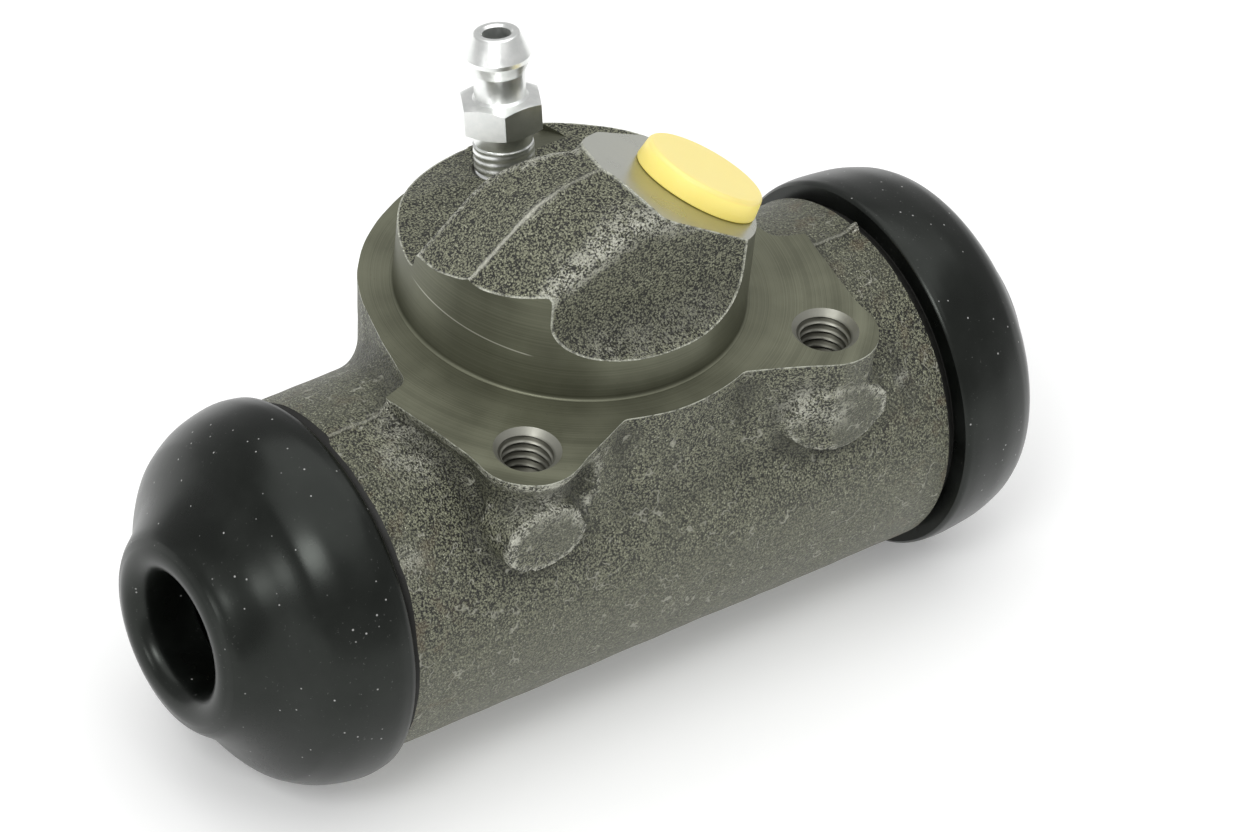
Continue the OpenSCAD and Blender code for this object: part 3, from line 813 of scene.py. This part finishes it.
def casting_field(s, x, y, z):
    """Distance, in metres, from the skin of the rough casting, negative inside."""
    front_fillet, back_share = 4 * MM, 0.2
    lug_fillet, pad_fillet, pocket_round = 0.9 * MM, 0.8 * MM, 0.7 * MM
    barrel = np.maximum(np.hypot(y - AXIS_Y, z - AXIS_Z) - s.barrel_radius, np.abs(x) - HALF_LEN - s.stock)
    fuller = rise(-np.abs(x), -15 * MM, -9 * MM) * rise(-y, 0, FRONT_RAMP)
    fuller = fuller + back_share * rise(y, -2 * MM, 4 * MM)
    body = join(barrel, neck_field(s, x, y, z), s.neck_fillet + front_fillet * fuller)
    body = join(body, lug_field(s, x, y, z), lug_fillet)
    body = join(body, pad_field(x, y, z), pad_fillet)
    pocket = ball(x, y, z, (-13.0 * MM, -23.2 * MM, -5.0 * MM), (2.2 * MM, 2.6 * MM, 2.8 * MM))
    body = common(body, -pocket, pocket_round)
    return np.minimum(np.minimum(body, flash_field(x, y, z)), head_field(s, x, y, z))


def flash_field(x, y, z):
    """Distance from the spur of flash by the right boot and from a scar on the barrel below it."""
    spur = ball(x, y, z, (33.4 * MM, AXIS_Y - 0.2 * MM, -2.1 * MM), (1.4 * MM, 0.6 * MM, 1.1 * MM))
    scar = ball(x, y, z, (29.1 * MM, -20.5 * MM, -9.6 * MM), (0.35 * MM, 1.2 * MM, 1.7 * MM))
    return np.minimum(spur, scar)


def ball(x, y, z, middle, halves):
    """Rough distance from an egg-shaped lump."""
    parts = [((value - at) / half) ** 2 for value, at, half in zip((x, y, z), middle, halves)]
    return (np.sqrt(parts[0] + parts[1] + parts[2]) - 1) * min(halves)


def head_field(s, x, y, z):
    """Distance from the rough spigot and the roof-shaped boss on it."""
    ridge = (-7.8 * MM, AXIS_Y, 20.1 * MM)
    slope, level_slope, roof_round = math.tan(math.radians(41)), 0.09, 4 * MM
    rim_front, rim_back = 5 * MM, 7.2 * MM
    draft_x, draft_long = -9 * MM, 7 * MM
    spot_slope, spot_gap = 0.238, 0.05 * MM
    back_fillet = 0.8 * MM
    reach = SPIGOT_R + s.stock
    plan = [(-reach, -12.7 * MM), (reach, -16.6 * MM), (reach, 4.8 * MM), (10.7 * MM, 4.8 * MM),
            (4.3 * MM, 3.4 * MM), (-2 * MM, -0.4 * MM), (-9.2 * MM, 3.3 * MM), (-reach, 3.3 * MM)]
    share = ramp(x, draft_x, draft_long)
    draft = np.where(y < AXIS_Y, 0.31 - 0.27 * share, 0.22 - 0.14 * share)
    fall = draft * np.abs(y - ridge[1])
    sloping = (z - ridge[2] - slope * (x - ridge[0]) + fall) / math.sqrt(1 + slope ** 2)
    level = z - ridge[2] + level_slope * (x - ridge[0]) + fall
    roof = common(sloping, level, roof_round)
    boss = common(outline_distance(plan, x, y) + 0 * z, roof, s.edge_round)
    boss = np.maximum(boss, -z - s.stock)
    spot = BLEED_FRAME.translation.z - spot_slope * (y - BLEED_FRAME.translation.y) - spot_gap
    rim = np.where(y < 0, rim_front, np.where(x < 0, np.minimum(rim_back, spot), rim_back))
    disc = np.maximum(np.hypot(x, y) - reach, np.maximum(z - rim, -z - s.stock))
    return join(boss, disc, np.where(y < AXIS_Y, s.scoop_radius, back_fillet))


def net(field, origin, step):
    """Surface where a field crosses zero: one point in each crossed cell, one face on each crossed edge."""
    inside = field < 0
    cells = tuple(n - 1 for n in field.shape)
    count = np.zeros(cells, np.int8)
    total = [np.zeros(cells, np.float32) for _ in range(3)]
    crossings = []
    for axis in range(3):
        low = [slice(None)] * 3
        high = [slice(None)] * 3
        low[axis], high[axis] = slice(0, -1), slice(1, None)
        first, last = field[tuple(low)], field[tuple(high)]
        crossed = inside[tuple(low)] != inside[tuple(high)]
        share = np.where(crossed, first / np.where(crossed, first - last, 1), 0).astype(np.float32)
        crossings.append(crossed)
        others = [a for a in range(3) if a != axis]
        for shift in ((0, 0), (0, 1), (1, 0), (1, 1)):
            part = [slice(None)] * 3
            for other, moved in zip(others, shift):
                part[other] = slice(moved, cells[other] + moved)
            hit = crossed[tuple(part)]
            count += hit
            total[axis] += share[tuple(part)]
            for other, moved in zip(others, shift):
                if moved:
                    total[other] += hit
    used = count > 0
    number = np.full(cells, -1, np.int64)
    number[used] = np.arange(used.sum())
    where = np.argwhere(used)
    points = np.stack([where[:, a] + total[a][used] / count[used] for a in range(3)], 1) * step + origin
    faces = []
    for axis in range(3):
        at = np.argwhere(crossings[axis])
        others = [a for a in range(3) if a != axis]
        good = np.all([(at[:, a] > 0) & (at[:, a] < cells[a]) for a in others], axis=0)
        at = at[good]
        ring = []
        for shift in ((-1, -1), (0, -1), (0, 0), (-1, 0)):
            cell = at.copy()
            cell[:, others[0]] += shift[0]
            cell[:, others[1]] += shift[1]
            ring.append(number[tuple(cell.T)])
        quads = np.stack(ring, 1)
        flip = inside[tuple(at.T)] == (axis == 1)
        quads[flip] = quads[flip][:, ::-1]
        faces.append(quads)
    return points, np.concatenate(faces)


def sample(field, origin, step, points):
    """Values of a grid at the nearest grid points."""
    index = np.rint((points - origin) / step).astype(int)
    index = np.clip(index, 0, np.array(field.shape) - 1)
    return field[tuple(index.T)]


def rough_casting(s):
    """Mesh of the rough casting, and the grids of how sharply its skin bends."""
    margin, ridge_half = 2.5 * MM, 0.5 * MM
    bend_reaches = (2, 5)
    wide_lumps, small_lumps = 9, 4
    low = np.array([-HALF_LEN, BODY_LO.y, BODY_LO.z]) - margin
    high = np.array([HALF_LEN, BODY_HI.y, BODY_HI.z]) + margin
    axes = [np.arange(a, b, s.voxel) for a, b in zip(low, high)]
    x, y, z = np.meshgrid(*axes, indexing="ij", sparse=True)
    field = casting_field(s, x, y, z)
    bends = [bend_of(field, reach, s.voxel) for reach in bend_reaches]
    field = field - s.parting_height * np.exp(-((y - AXIS_Y) / ridge_half) ** 2)
    field = field + s.parting_step * ramp(AXIS_Y - y, 0, ridge_half)
    wide = waviness(field.shape, wide_lumps, s.seed)
    small = waviness(field.shape, small_lumps, s.seed + 1)
    field = field + s.skin_depth * (0.8 + 0.5 * (0.6 * wide + 0.4 * small))
    points, faces = net(field, low, s.voxel)
    return points, faces, (bends, low)


def bend_of(field, reach, step):
    """How sharply the levels of a field bend, felt over a reach of some cells."""
    bend = np.zeros(field.shape, np.float32)
    inner = (slice(reach, -reach),) * 3
    for axis in range(3):
        for way in (reach, -reach):
            bend[inner] += np.roll(field, way, axis)[inner]
    bend[inner] = (bend[inner] - 6 * field[inner]) / (reach * step) ** 2
    return bend


def machining_tools(s, turned, faced, bored, gap_shadow):
    """Solids that the machining takes away, each with the finish that it leaves."""
    far, foot, lip, mouth = 60 * MM, 0.3 * MM, 0.3 * MM, 1 * MM
    seat_r, groove_r, groove = 18 * MM, 16.8 * MM, (37 * MM, 39 * MM)
    shoulder, break_in, soft = 35 * MM, 1.5 * MM, 0.5 * MM
    spot_r, bleed_r, bleed_depth, bleed_soft = 8.5 * MM, 3.25 * MM, 12 * MM, 0.4 * MM
    passage_r, port_depth = 1.4 * MM, 11 * MM
    tap_r, core_r, tap_depth, sink_r = 3 * MM, 2.55 * MM, 8.5 * MM, 3.5 * MM
    deep = -AXIS_Z + MOUNTS["inlet_port"]["pos_m"][2]
    bleed_deep = -AXIS_Z + BLEED_FRAME.translation.z
    over, past = 1 * MM, 5 * MM
    tools = [
        turn("facing", arc((SPIGOT_R + foot, foot), foot, 180, 270, 4)
             + [(far, 0), (far, far), (SPIGOT_R, far)], 192, SPIGOT_FRAME, [turned]),
        turn("port_facing", [(0, 0), (far, 0), (far, far), (0, far)], 96, PORT_FRAME, [faced]),
        turn("bore", [(0, -HALF_LEN - over), (s.bore_radius + mouth + over, -HALF_LEN - over),
                      (s.bore_radius, -HALF_LEN + mouth), (s.bore_radius, HALF_LEN - mouth),
                      (s.bore_radius + mouth + over, HALF_LEN + over), (0, HALF_LEN + over)],
             128, BARREL_FRAME, [turned]),
        turn("spot_face", [(0, 0), (spot_r, 0), (spot_r, far), (0, far)], 96, BLEED_FRAME, [turned]),
        turn("bleed_hole", [(0, over), (bleed_r + bleed_soft, over), (bleed_r + bleed_soft, 0.0),
                            (bleed_r, -bleed_soft), (bleed_r, -bleed_depth),
                            (passage_r, -bleed_depth - bleed_r + passage_r), (passage_r, -bleed_deep),
                            (0, -bleed_deep)], 64, BLEED_FRAME, [bored]),
        turn("port_hole", [(0, over), (PORT_R + over, over), (PORT_R + soft, 0),
                           (PORT_R, -soft), (PORT_R, -port_depth), (passage_r, -port_depth),
                           (passage_r, -deep), (0, -deep)], 64, PORT_FRAME, [bored]),
    ]
    for way in (-1, 1):
        end = frame_along((0, AXIS_Y, AXIS_Z), (way, 0, 0))
        # The seat and its chamfer beside the boot take the painted black of the gap's shadow.
        tools.append(turn("end_turning", [
            (0, HALF_LEN + past), (far, HALF_LEN + past), (far, shoulder - break_in),
            (s.barrel_radius - 0.1 * MM, shoulder - break_in), (seat_r + 0.25 * MM, shoulder - 0.3 * MM),
            (seat_r, shoulder),
            (seat_r, groove[0]), (groove_r, groove[0]), (groove_r, groove[1]), (seat_r, groove[1]),
            (seat_r, HALF_LEN - soft), (seat_r - soft, HALF_LEN), (0, HALF_LEN)],
            128, end, [gap_shadow]))
        hole = Matrix.Translation((way * HOLE_X, HOLE_Y, 0))
        rows = 80
        heights = [-tap_depth + (tap_depth + over) * i / rows for i in range(rows + 1)]
        column = [(0, heights[0])] + [(tap_r, h) for h in heights] + [(0, heights[-1])]
        thread = thread_radius(core_r, tap_r, s.thread_pitch)
        tools.append(turn("tapped_hole", column, 56, hole, [bored], thread))
        tools.append(turn("countersink", [
            (0, sink_r - tap_r + lip), (sink_r + lip, lip), (core_r, core_r - sink_r), (0, core_r - sink_r)],
            64, hole, [bored]))
    return tools


# Patches of the skin that are rubbed bright, partly painted highlights where the skin faces the light, as (x, y,
# z, reach) in millimetres, and how much
RUBBED_AND_HIGHLIT = ((13.8, -23.2, -5.4, 2.6, 0.9), (16.6, -24.2, -6.6, 1.7, 0.8), (-22.8, -23.6, -3.6, 1.7, 0.8),
          (-19.3, -24.0, -3.7, 1.9, 0.7), (-26.5, -8.0, -2.3, 2.4, 0.55), (-26.9, -12.0, -3.3, 2.0, 0.65),
          (-28.8, -10.5, -2.7, 1.8, 0.55), (-32.7, -19.4, -8.2, 1.5, 0.65), (29.1, -20.5, -9.6, 0.8, 0.7),
          (-7.2, -16.1, 5.9, 2.0, 0.5), (-3.6, -17.1, 6.3, 2.2, 0.45), (0.2, -17.4, 6.6, 2.2, 0.4),
          (4.0, -17.0, 7.0, 2.0, 0.35))


def mark_casting(mesh, bends, origin, step):
    """Marks the points where the skin is worn, partly as painted highlights (edges, boss front, patches), and the
    creases where shade is painted.
    """
    points = np.zeros(len(mesh.vertices) * 3, np.float32)
    mesh.vertices.foreach_get("co", points)
    points = points.reshape(-1, 3)
    narrow, wide = [sample(bend, origin, step, points) * MM for bend in bends]
    x, y, z = points.T
    boss_front = ramp(z, 8 * MM, 3 * MM) * ramp(-y, 9 * MM, 2 * MM) * ramp(wide, 0.08, 0.2)
    pad_rims = np.exp(-((pad_oval(x, z) + 0.03) / 0.06) ** 2) * ramp(-y, 24 * MM, 0.4 * MM)
    # Wear and painted highlight together: sharp outward bends, the boss's front, the rims of the pads and the
    # listed patches.
    wear_and_highlight = np.maximum(ramp(narrow, 0.35, 0.5), 0.8 * np.maximum(boss_front, pad_rims))
    for *place, reach, share in RUBBED_AND_HIGHLIT:
        away = np.linalg.norm(points - np.array(place) * MM, axis=1) / (reach * MM)
        wear_and_highlight = np.maximum(wear_and_highlight, share * np.exp(-away ** 2))
    # Painted shade goes where the skin bends inwards.
    crease_shade = ramp(-wide, 0.06, 0.25)
    for name, values in (("wear_and_highlight", wear_and_highlight), ("crease_shade", crease_shade)):
        layer = mesh.attributes.new(name, "FLOAT", "POINT")
        layer.data.foreach_set("value", values.astype(np.float32))


def build_casting(s):
    """The casting, machined where the real one is."""
    finishes = turned_iron(s), faced_iron(), bored_iron(), gap_shadow_iron()
    points, faces, (bends, origin) = rough_casting(s)
    rough = bpy.data.meshes.new("cylinder_body_skin")
    rough.from_pydata(points.tolist(), [], faces.tolist())
    rough.materials.append(cast_iron(s))
    mesh = cut(rough, machining_tools(s, *finishes))
    mesh.name = "cylinder_body_looks"
    if len({face.material_index for face in mesh.polygons}) < len(finishes) + 1:
        raise RuntimeError("the casting could not be machined")
    mark_casting(mesh, bends, origin, s.voxel)
    smooth(mesh, 38)
    body = add_object("cylinder_body_looks", mesh)
    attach(body, "housing")
    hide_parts("cylinder_body")


# Outlines of the two boots as (distance from the rim, radius): the left one has sagged a little
LEFT_DOME = ((0.7, 20.3), (2, 20.4), (4, 20.1), (6, 19.5), (8, 18.4), (9, 17.55), (10, 16.35), (11, 14.95),
             (12, 13.65), (13, 12.6), (14, 11.75), (15, 11.0), (15.55, 10.4))
RIGHT_DOME = ((0.7, 20.4), (2, 20.45), (4, 20.3), (6, 20.05), (8, 19.5), (9, 19.05), (10, 18.35), (11, 17.15),
              (12, 15.6), (13, 13.9), (14, 12.2), (15, 11.0), (15.55, 10.4))


def through(points, steps):
    """Smooth curve through a row of points."""
    row = [points[0], *points, points[-1]]
    curve = []
    for a, b, c, d in zip(row, row[1:], row[2:], row[3:]):
        for i in range(steps):
            t = i / steps
            curve.append(tuple(
                q + 0.5 * t * (r - p + t * (2 * p - 5 * q + 4 * r - u + t * (3 * (q - r) + u - p)))
                for p, q, r, u in zip(a, b, c, d)))
    return curve + [points[-1]]


def boot_profile(s, dome):
    """Half section of a boot: (radius, distance along the barrel) round the rubber."""
    nose_mid = s.hole_radius + s.nose_radius
    nose_x = NOSE_X - s.nose_radius
    outer = [(radius * MM, RIM_X + along * MM) for along, radius in through(dome, 4)]
    lining = []
    for (r0, x0), (r1, x1) in zip(outer, outer[1:]):
        length = math.hypot(r1 - r0, x1 - x0)
        lining.append((r0 - s.wall * (x1 - x0) / length, x0 + s.wall * (r1 - r0) / length))
    shell_x = HALF_LEN + 0.1 * MM
    groove_x = 38 * MM
    bead_half = 0.9 * MM
    clear = 0.2 * MM
    lip = 0.3 * MM
    nose = arc((nose_mid, nose_x), s.nose_radius, 57, 180, 20)
    sleeve_x = nose_x - s.sleeve
    outer_sleeve = s.hole_radius + s.wall
    inside = [(r, x) for r, x in reversed(lining) if x > shell_x and r > outer_sleeve + clear]
    rim_r = outer[0][0]
    return ([(s.seat_radius, RIM_X), (rim_r - 0.35 * MM, RIM_X), (rim_r - 0.08 * MM, RIM_X + 0.25 * MM)]
            + outer + nose
            + [(s.hole_radius, sleeve_x + lip), (s.hole_radius + lip, sleeve_x),
               (outer_sleeve - lip, sleeve_x), (outer_sleeve, sleeve_x + lip),
               (outer_sleeve, inside[0][1])]
            + inside
            + [(s.seat_radius, shell_x), (s.seat_radius, groove_x + bead_half),
               (s.bead_radius, groove_x + bead_half), (s.bead_radius, groove_x - bead_half),
               (s.seat_radius, groove_x - bead_half)])


def build_boots(s):
    """The two dust boots."""
    rubber = boot_rubber(s)
    for name, way, dome in (("right_boot", 1, RIGHT_DOME), ("left_boot", -1, LEFT_DOME)):
        mesh = turn(name + "_looks", boot_profile(s, dome), s.segments,
                    frame_along((0, AXIS_Y, AXIS_Z), (way, 0, 0)), [rubber])
        smooth(mesh, 40)
        boot = add_object(name + "_looks", mesh)
        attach(boot, "housing")
        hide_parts(name)


def build_bleed_screw(s):
    """The bleed screw: threaded shank, chamfered hexagon, hose neck and barb."""
    zinc = zinc_steel(s)
    here = BLEED_FRAME
    tip_r, point_r = 2.35 * MM, 1.4 * MM
    over, overlap = 0.1 * MM, 0.5 * MM
    rows = 150
    hex_top = s.hex_lift + s.hex_height
    barb_foot = hex_top + 3 * MM
    barb_wide = barb_foot + 1.3 * MM
    top = barb_foot + 4.3 * MM
    point = -s.depth - s.shank_radius + point_r
    corner_r = s.hex_flats / 2 / math.cos(math.pi / 6)
    bevel = corner_r - s.hex_flats / 2
    bevel_r = corner_r - 1.9 * bevel
    bevel_tall = 0.66 * bevel
    relief_from = s.hex_lift - 1.5 * MM
    relief_r = s.shank_radius - 0.12 * MM
    root_r = s.neck_radius + 0.25 * MM
    drill_r = s.drilling_radius
    drill_end = -s.depth + 1.8 * MM
    thread_end = relief_from - 0.2 * MM
    heights = [-s.depth + (s.depth + thread_end) * i / rows for i in range(rows + 1)]
    deep_wave = thread_radius(s.shank_radius - 0.32 * MM, s.shank_radius, s.pitch)
    worn_wave = thread_radius(s.shank_radius - 0.06 * MM, s.shank_radius, s.pitch)

    def shank_radius(radius, height, angle):
        if not -s.depth < height < thread_end:
            return radius
        return (deep_wave if height < 0 else worn_wave)(radius, height, angle)

    shank = turn("shank", [(0, point), (point_r, point)]
                 + [(s.shank_radius - 0.2 * MM, h) for h in heights]
                 + [(relief_r, relief_from), (relief_r, s.hex_lift + overlap), (0, s.hex_lift + overlap)],
                 56, here, [zinc], shank_radius)
    nozzle = turn("nozzle", [
        (0, hex_top - overlap), (root_r, hex_top - overlap), (root_r, hex_top),
        (s.neck_radius, hex_top + 0.25 * MM), (s.neck_radius, barb_foot - 0.2 * MM),
        (s.neck_radius + 0.1 * MM, barb_foot),
        (s.barb_radius - 0.1 * MM, barb_wide - 0.1 * MM), (s.barb_radius, barb_wide + 0.05 * MM),
        (s.barb_radius, barb_wide + 0.5 * MM), (s.barb_radius - 0.08 * MM, barb_wide + 0.65 * MM),
        (tip_r + 0.12 * MM, top - 0.2 * MM), (tip_r, top - 0.05 * MM), (tip_r - 0.1 * MM, top), (0, top)],
        72, here, [zinc])
    prism = turn("prism", [(0, s.hex_lift), (corner_r, s.hex_lift), (corner_r, hex_top), (0, hex_top)],
                 6, here, [zinc])
    cone = turn("cone", [
        (0, s.hex_lift - over), (bevel_r, s.hex_lift - over),
        (corner_r + over, s.hex_lift + bevel_tall), (corner_r + over, hex_top - bevel_tall),
        (bevel_r, hex_top + over), (0, hex_top + over)], 96, here, [zinc])
    hexagon = cut(prism, [cone], "INTERSECT")
    drilling = turn("drilling", [
        (0, drill_end), (drill_r, drill_end), (drill_r, top - 0.25 * MM),
        (drill_r + 0.75 * MM, top + overlap), (0, top + overlap)], 48, here, [zinc])
    mesh = cut(cut(shank, [hexagon, nozzle], "UNION"), [drilling])
    mesh.name = "bleed_screw_looks"
    smooth(mesh, 28)
    screw = add_object("bleed_screw_looks", mesh)
    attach(screw, "bleeder")
    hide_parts("bleed_screw")


def build_plug(s):
    """The transit plug: a slightly tapered head with a rounded edge on a hollow stem."""
    yellow = plug_plastic(s)
    top = s.lift + s.head_height
    round_r = 0.55 * MM
    taper = 0.25 * MM
    edge = s.head_radius - taper - round_r
    profile = ([(0, top - 0.06 * MM), (1.2 * MM, top - 0.05 * MM), (edge - 1.2 * MM, top - 0.02 * MM)]
               + arc((edge, top - round_r), round_r, 90, 5, 10)
               + [(s.head_radius - 0.04 * MM, s.lift + 0.15 * MM), (s.head_radius - 0.12 * MM, s.lift),
                  (s.stem_radius + 0.2 * MM, s.lift), (s.stem_radius, s.lift - 0.2 * MM),
                  (s.stem_radius, -s.stem_length + 0.5 * MM), (s.stem_radius - 0.3 * MM, -s.stem_length),
                  (s.stem_radius - s.wall, -s.stem_length), (s.stem_radius - s.wall, s.lift), (0, s.lift)])
    mesh = turn("port_plug_looks", profile, 120, PORT_FRAME, [yellow])
    smooth(mesh, 35)
    plug = add_object("port_plug_looks", mesh)
    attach(plug, "plug")
    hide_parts("port_plug")


def coil(name, start, end, radius, wire, turns, material):
    """Half of the return spring, from one place along the barrel to another."""
    sides = 12
    steps = max(int(48 * turns), 8)
    along = Vector((1, 0, 0))
    points, faces = [], []
    for i in range(steps + 1):
        t = i / steps
        angle = 2 * math.pi * turns * t * (1 if end > start else -1)
        out = Vector((0, math.cos(angle), math.sin(angle)))
        middle = Vector((start + (end - start) * t, AXIS_Y, AXIS_Z)) + out * radius
        for k in range(sides):
            a = 2 * math.pi * k / sides
            points.append(middle + wire * (math.cos(a) * out + math.sin(a) * along))
            if i:
                low, high, after = (i - 1) * sides, i * sides, (k + 1) % sides
                faces.append((low + k, low + after, high + after, high + k))
    faces.append(tuple(range(sides)))
    faces.append(tuple(range(len(points) - sides, len(points))))
    mesh = mesh_of(name, points, faces, [material])
    smooth(mesh, 50)
    return add_object(name, mesh)


def build_train(s):
    """Pistons, cups, expanders and the spring between them."""
    finishes = {
        "piston": bore_metal("piston_alloy", (0.50, 0.505, 0.51), (0.66, 0.665, 0.67), 0.3),
        "cup": cup_rubber(),
        "expander": bore_metal("sheet_steel", (0.42, 0.42, 0.40), (0.60, 0.60, 0.58), 0.32),
    }
    for side in ("left", "right"):
        for piece, material in finishes.items():
            mesh = frame["nodes"][f"{side}_{piece}"].data
            mesh.materials.clear()
            mesh.materials.append(material)
    wire = bore_metal("spring_wire", (0.20, 0.205, 0.215), (0.34, 0.345, 0.355), 0.3)
    radius = (SPRING_HI.y - SPRING_LO.y) / 2 - s.wire_radius
    for name, end in (("right", SPRING_HI.x), ("left", SPRING_LO.x)):
        reach = end - math.copysign(s.wire_radius, end)
        half = coil(f"return_spring_{name}", 0.0, reach, radius, s.wire_radius, s.turns / 2, wire)
        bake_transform(half)
        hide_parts("return_spring")


def area_light(name, power, place, target, size):
    """A square light that faces a point."""
    lamp = bpy.data.lights.new(name, "AREA")
    lamp.shape = "SQUARE"
    lamp.size = size
    lamp.energy = power
    light = bpy.data.objects.new(name, lamp)
    light.location = place
    light.rotation_mode = "QUATERNION"
    light.rotation_quaternion = (Vector(target) - Vector(place)).to_track_quat("-Z", "Y")
    bpy.context.scene.collection.objects.link(light)
    return light


def build_stage(s):
    """White floor, soft lights, surroundings and the camera of the photo."""
    scene = bpy.context.scene
    half = 4
    corners = [(-half, -half, 0), (half, -half, 0), (half, half, 0), (-half, half, 0)]
    sheet = mesh_of("floor", corners, [(0, 1, 2, 3)], [floor_paper()])
    floor = add_object("floor", sheet, Matrix.Translation((0, 0, FLOOR_Z)))
    key = area_light("key", s.key_power, place=(-0.50, -0.32, 0.61), target=(0, 0, 0), size=0.25)
    side = area_light("side", s.side_power, place=(-0.85, -0.05, 0.18), target=(-0.04, 0, 0), size=0.14)
    top = area_light("top", s.top_power, place=(0.05, 0.05, 0.9), target=(0, 0, 0), size=1.3)
    world = bpy.data.worlds.new("surroundings")
    world.use_nodes = True
    tree = world.node_tree
    seen = tree.nodes.new("ShaderNodeLightPath")
    ground = tree.nodes["Background"]
    ground.inputs["Color"].default_value = (1, 1, 1, 1)
    level = Wire(tree, seen.outputs["Is Camera Ray"]) * (1 - s.sky) + s.sky
    feed(tree, ground.inputs["Strength"], level)
    scene.world = world
    camera = bpy.data.objects.new("camera", bpy.data.cameras.new("camera"))
    scene.collection.objects.link(camera)
    camera.data.lens = s.lens
    camera.data.sensor_width = 36
    camera.data.clip_start = 0.01
    camera.data.clip_end = 50
    out = math.cos(s.elevation)
    eye = s.distance * Vector((math.sin(s.azimuth) * out, -math.cos(s.azimuth) * out, math.sin(s.elevation)))
    back = (eye - Vector(s.aim)).normalized()
    right = Vector(s.up).cross(back).normalized()
    up = back.cross(right)
    camera.matrix_world = Matrix.Translation(eye) @ Matrix((right, up, back)).transposed().to_4x4()
    scene.camera = camera
    scene.view_settings.view_transform = "Standard"


class WHEELCYLINDER_OT_casting(Operator):
    """Build the casting with its cast skin and its machined faces"""

    bl_idname = "wheelcylinder.casting"
    bl_label = "Build Casting"

    def execute(self, context):
        build_casting(context.scene.wheelcylinder_casting)
        return {"FINISHED"}


class WHEELCYLINDER_OT_boots(Operator):
    """Build the two rubber dust boots"""

    bl_idname = "wheelcylinder.boots"
    bl_label = "Build Boots"

    def execute(self, context):
        build_boots(context.scene.wheelcylinder_boots)
        return {"FINISHED"}


class WHEELCYLINDER_OT_bleed_screw(Operator):
    """Build the bleed screw"""

    bl_idname = "wheelcylinder.bleed_screw"
    bl_label = "Build Bleed Screw"

    def execute(self, context):
        build_bleed_screw(context.scene.wheelcylinder_bleed)
        return {"FINISHED"}


class WHEELCYLINDER_OT_plug(Operator):
    """Build the transit plug"""

    bl_idname = "wheelcylinder.plug"
    bl_label = "Build Plug"

    def execute(self, context):
        build_plug(context.scene.wheelcylinder_plug)
        return {"FINISHED"}


class WHEELCYLINDER_OT_train(Operator):
    """Finish the pistons, cups and expanders and build the return spring"""

    bl_idname = "wheelcylinder.train"
    bl_label = "Build Bore Train"

    def execute(self, context):
        build_train(context.scene.wheelcylinder_train)
        return {"FINISHED"}


class WHEELCYLINDER_OT_stage(Operator):
    """Build the floor, the lights, the surroundings and the camera"""

    bl_idname = "wheelcylinder.stage"
    bl_label = "Build Stage"

    def execute(self, context):
        build_stage(context.scene.wheelcylinder_stage)
        return {"FINISHED"}


class WHEELCYLINDER_PT_sidebar(Panel):
    """Settings and build steps of the wheel cylinder"""

    bl_label = "Wheel Cylinder"
    bl_idname = "WHEELCYLINDER_PT_sidebar"
    bl_space_type = "VIEW_3D"
    bl_region_type = "UI"
    bl_category = "Wheel Cylinder"

    def draw(self, context):
        for pointer, _, operator in PIECES:
            box = self.layout.box()
            settings = getattr(context.scene, pointer)
            for name in settings.__annotations__:
                box.prop(settings, name)
            box.operator(operator.bl_idname)


PIECES = (
    ("wheelcylinder_casting", CastingSettings, WHEELCYLINDER_OT_casting),
    ("wheelcylinder_boots", BootSettings, WHEELCYLINDER_OT_boots),
    ("wheelcylinder_bleed", BleedSettings, WHEELCYLINDER_OT_bleed_screw),
    ("wheelcylinder_plug", PlugSettings, WHEELCYLINDER_OT_plug),
    ("wheelcylinder_train", TrainSettings, WHEELCYLINDER_OT_train),
    ("wheelcylinder_stage", StageSettings, WHEELCYLINDER_OT_stage),
)


def register():
    for pointer, settings, operator in PIECES:
        bpy.utils.register_class(settings)
        bpy.utils.register_class(operator)
        setattr(bpy.types.Scene, pointer, PointerProperty(type=settings))
    bpy.utils.register_class(WHEELCYLINDER_PT_sidebar)


def unregister():
    bpy.utils.unregister_class(WHEELCYLINDER_PT_sidebar)
    for pointer, settings, operator in reversed(PIECES):
        delattr(bpy.types.Scene, pointer)
        bpy.utils.unregister_class(operator)
        bpy.utils.unregister_class(settings)


def main():
    register()
    bpy.ops.wheelcylinder.casting()
    bpy.ops.wheelcylinder.boots()
    bpy.ops.wheelcylinder.bleed_screw()
    bpy.ops.wheelcylinder.plug()
    bpy.ops.wheelcylinder.train()
    bpy.ops.wheelcylinder.stage()


if __name__ == "__main__":
    main()
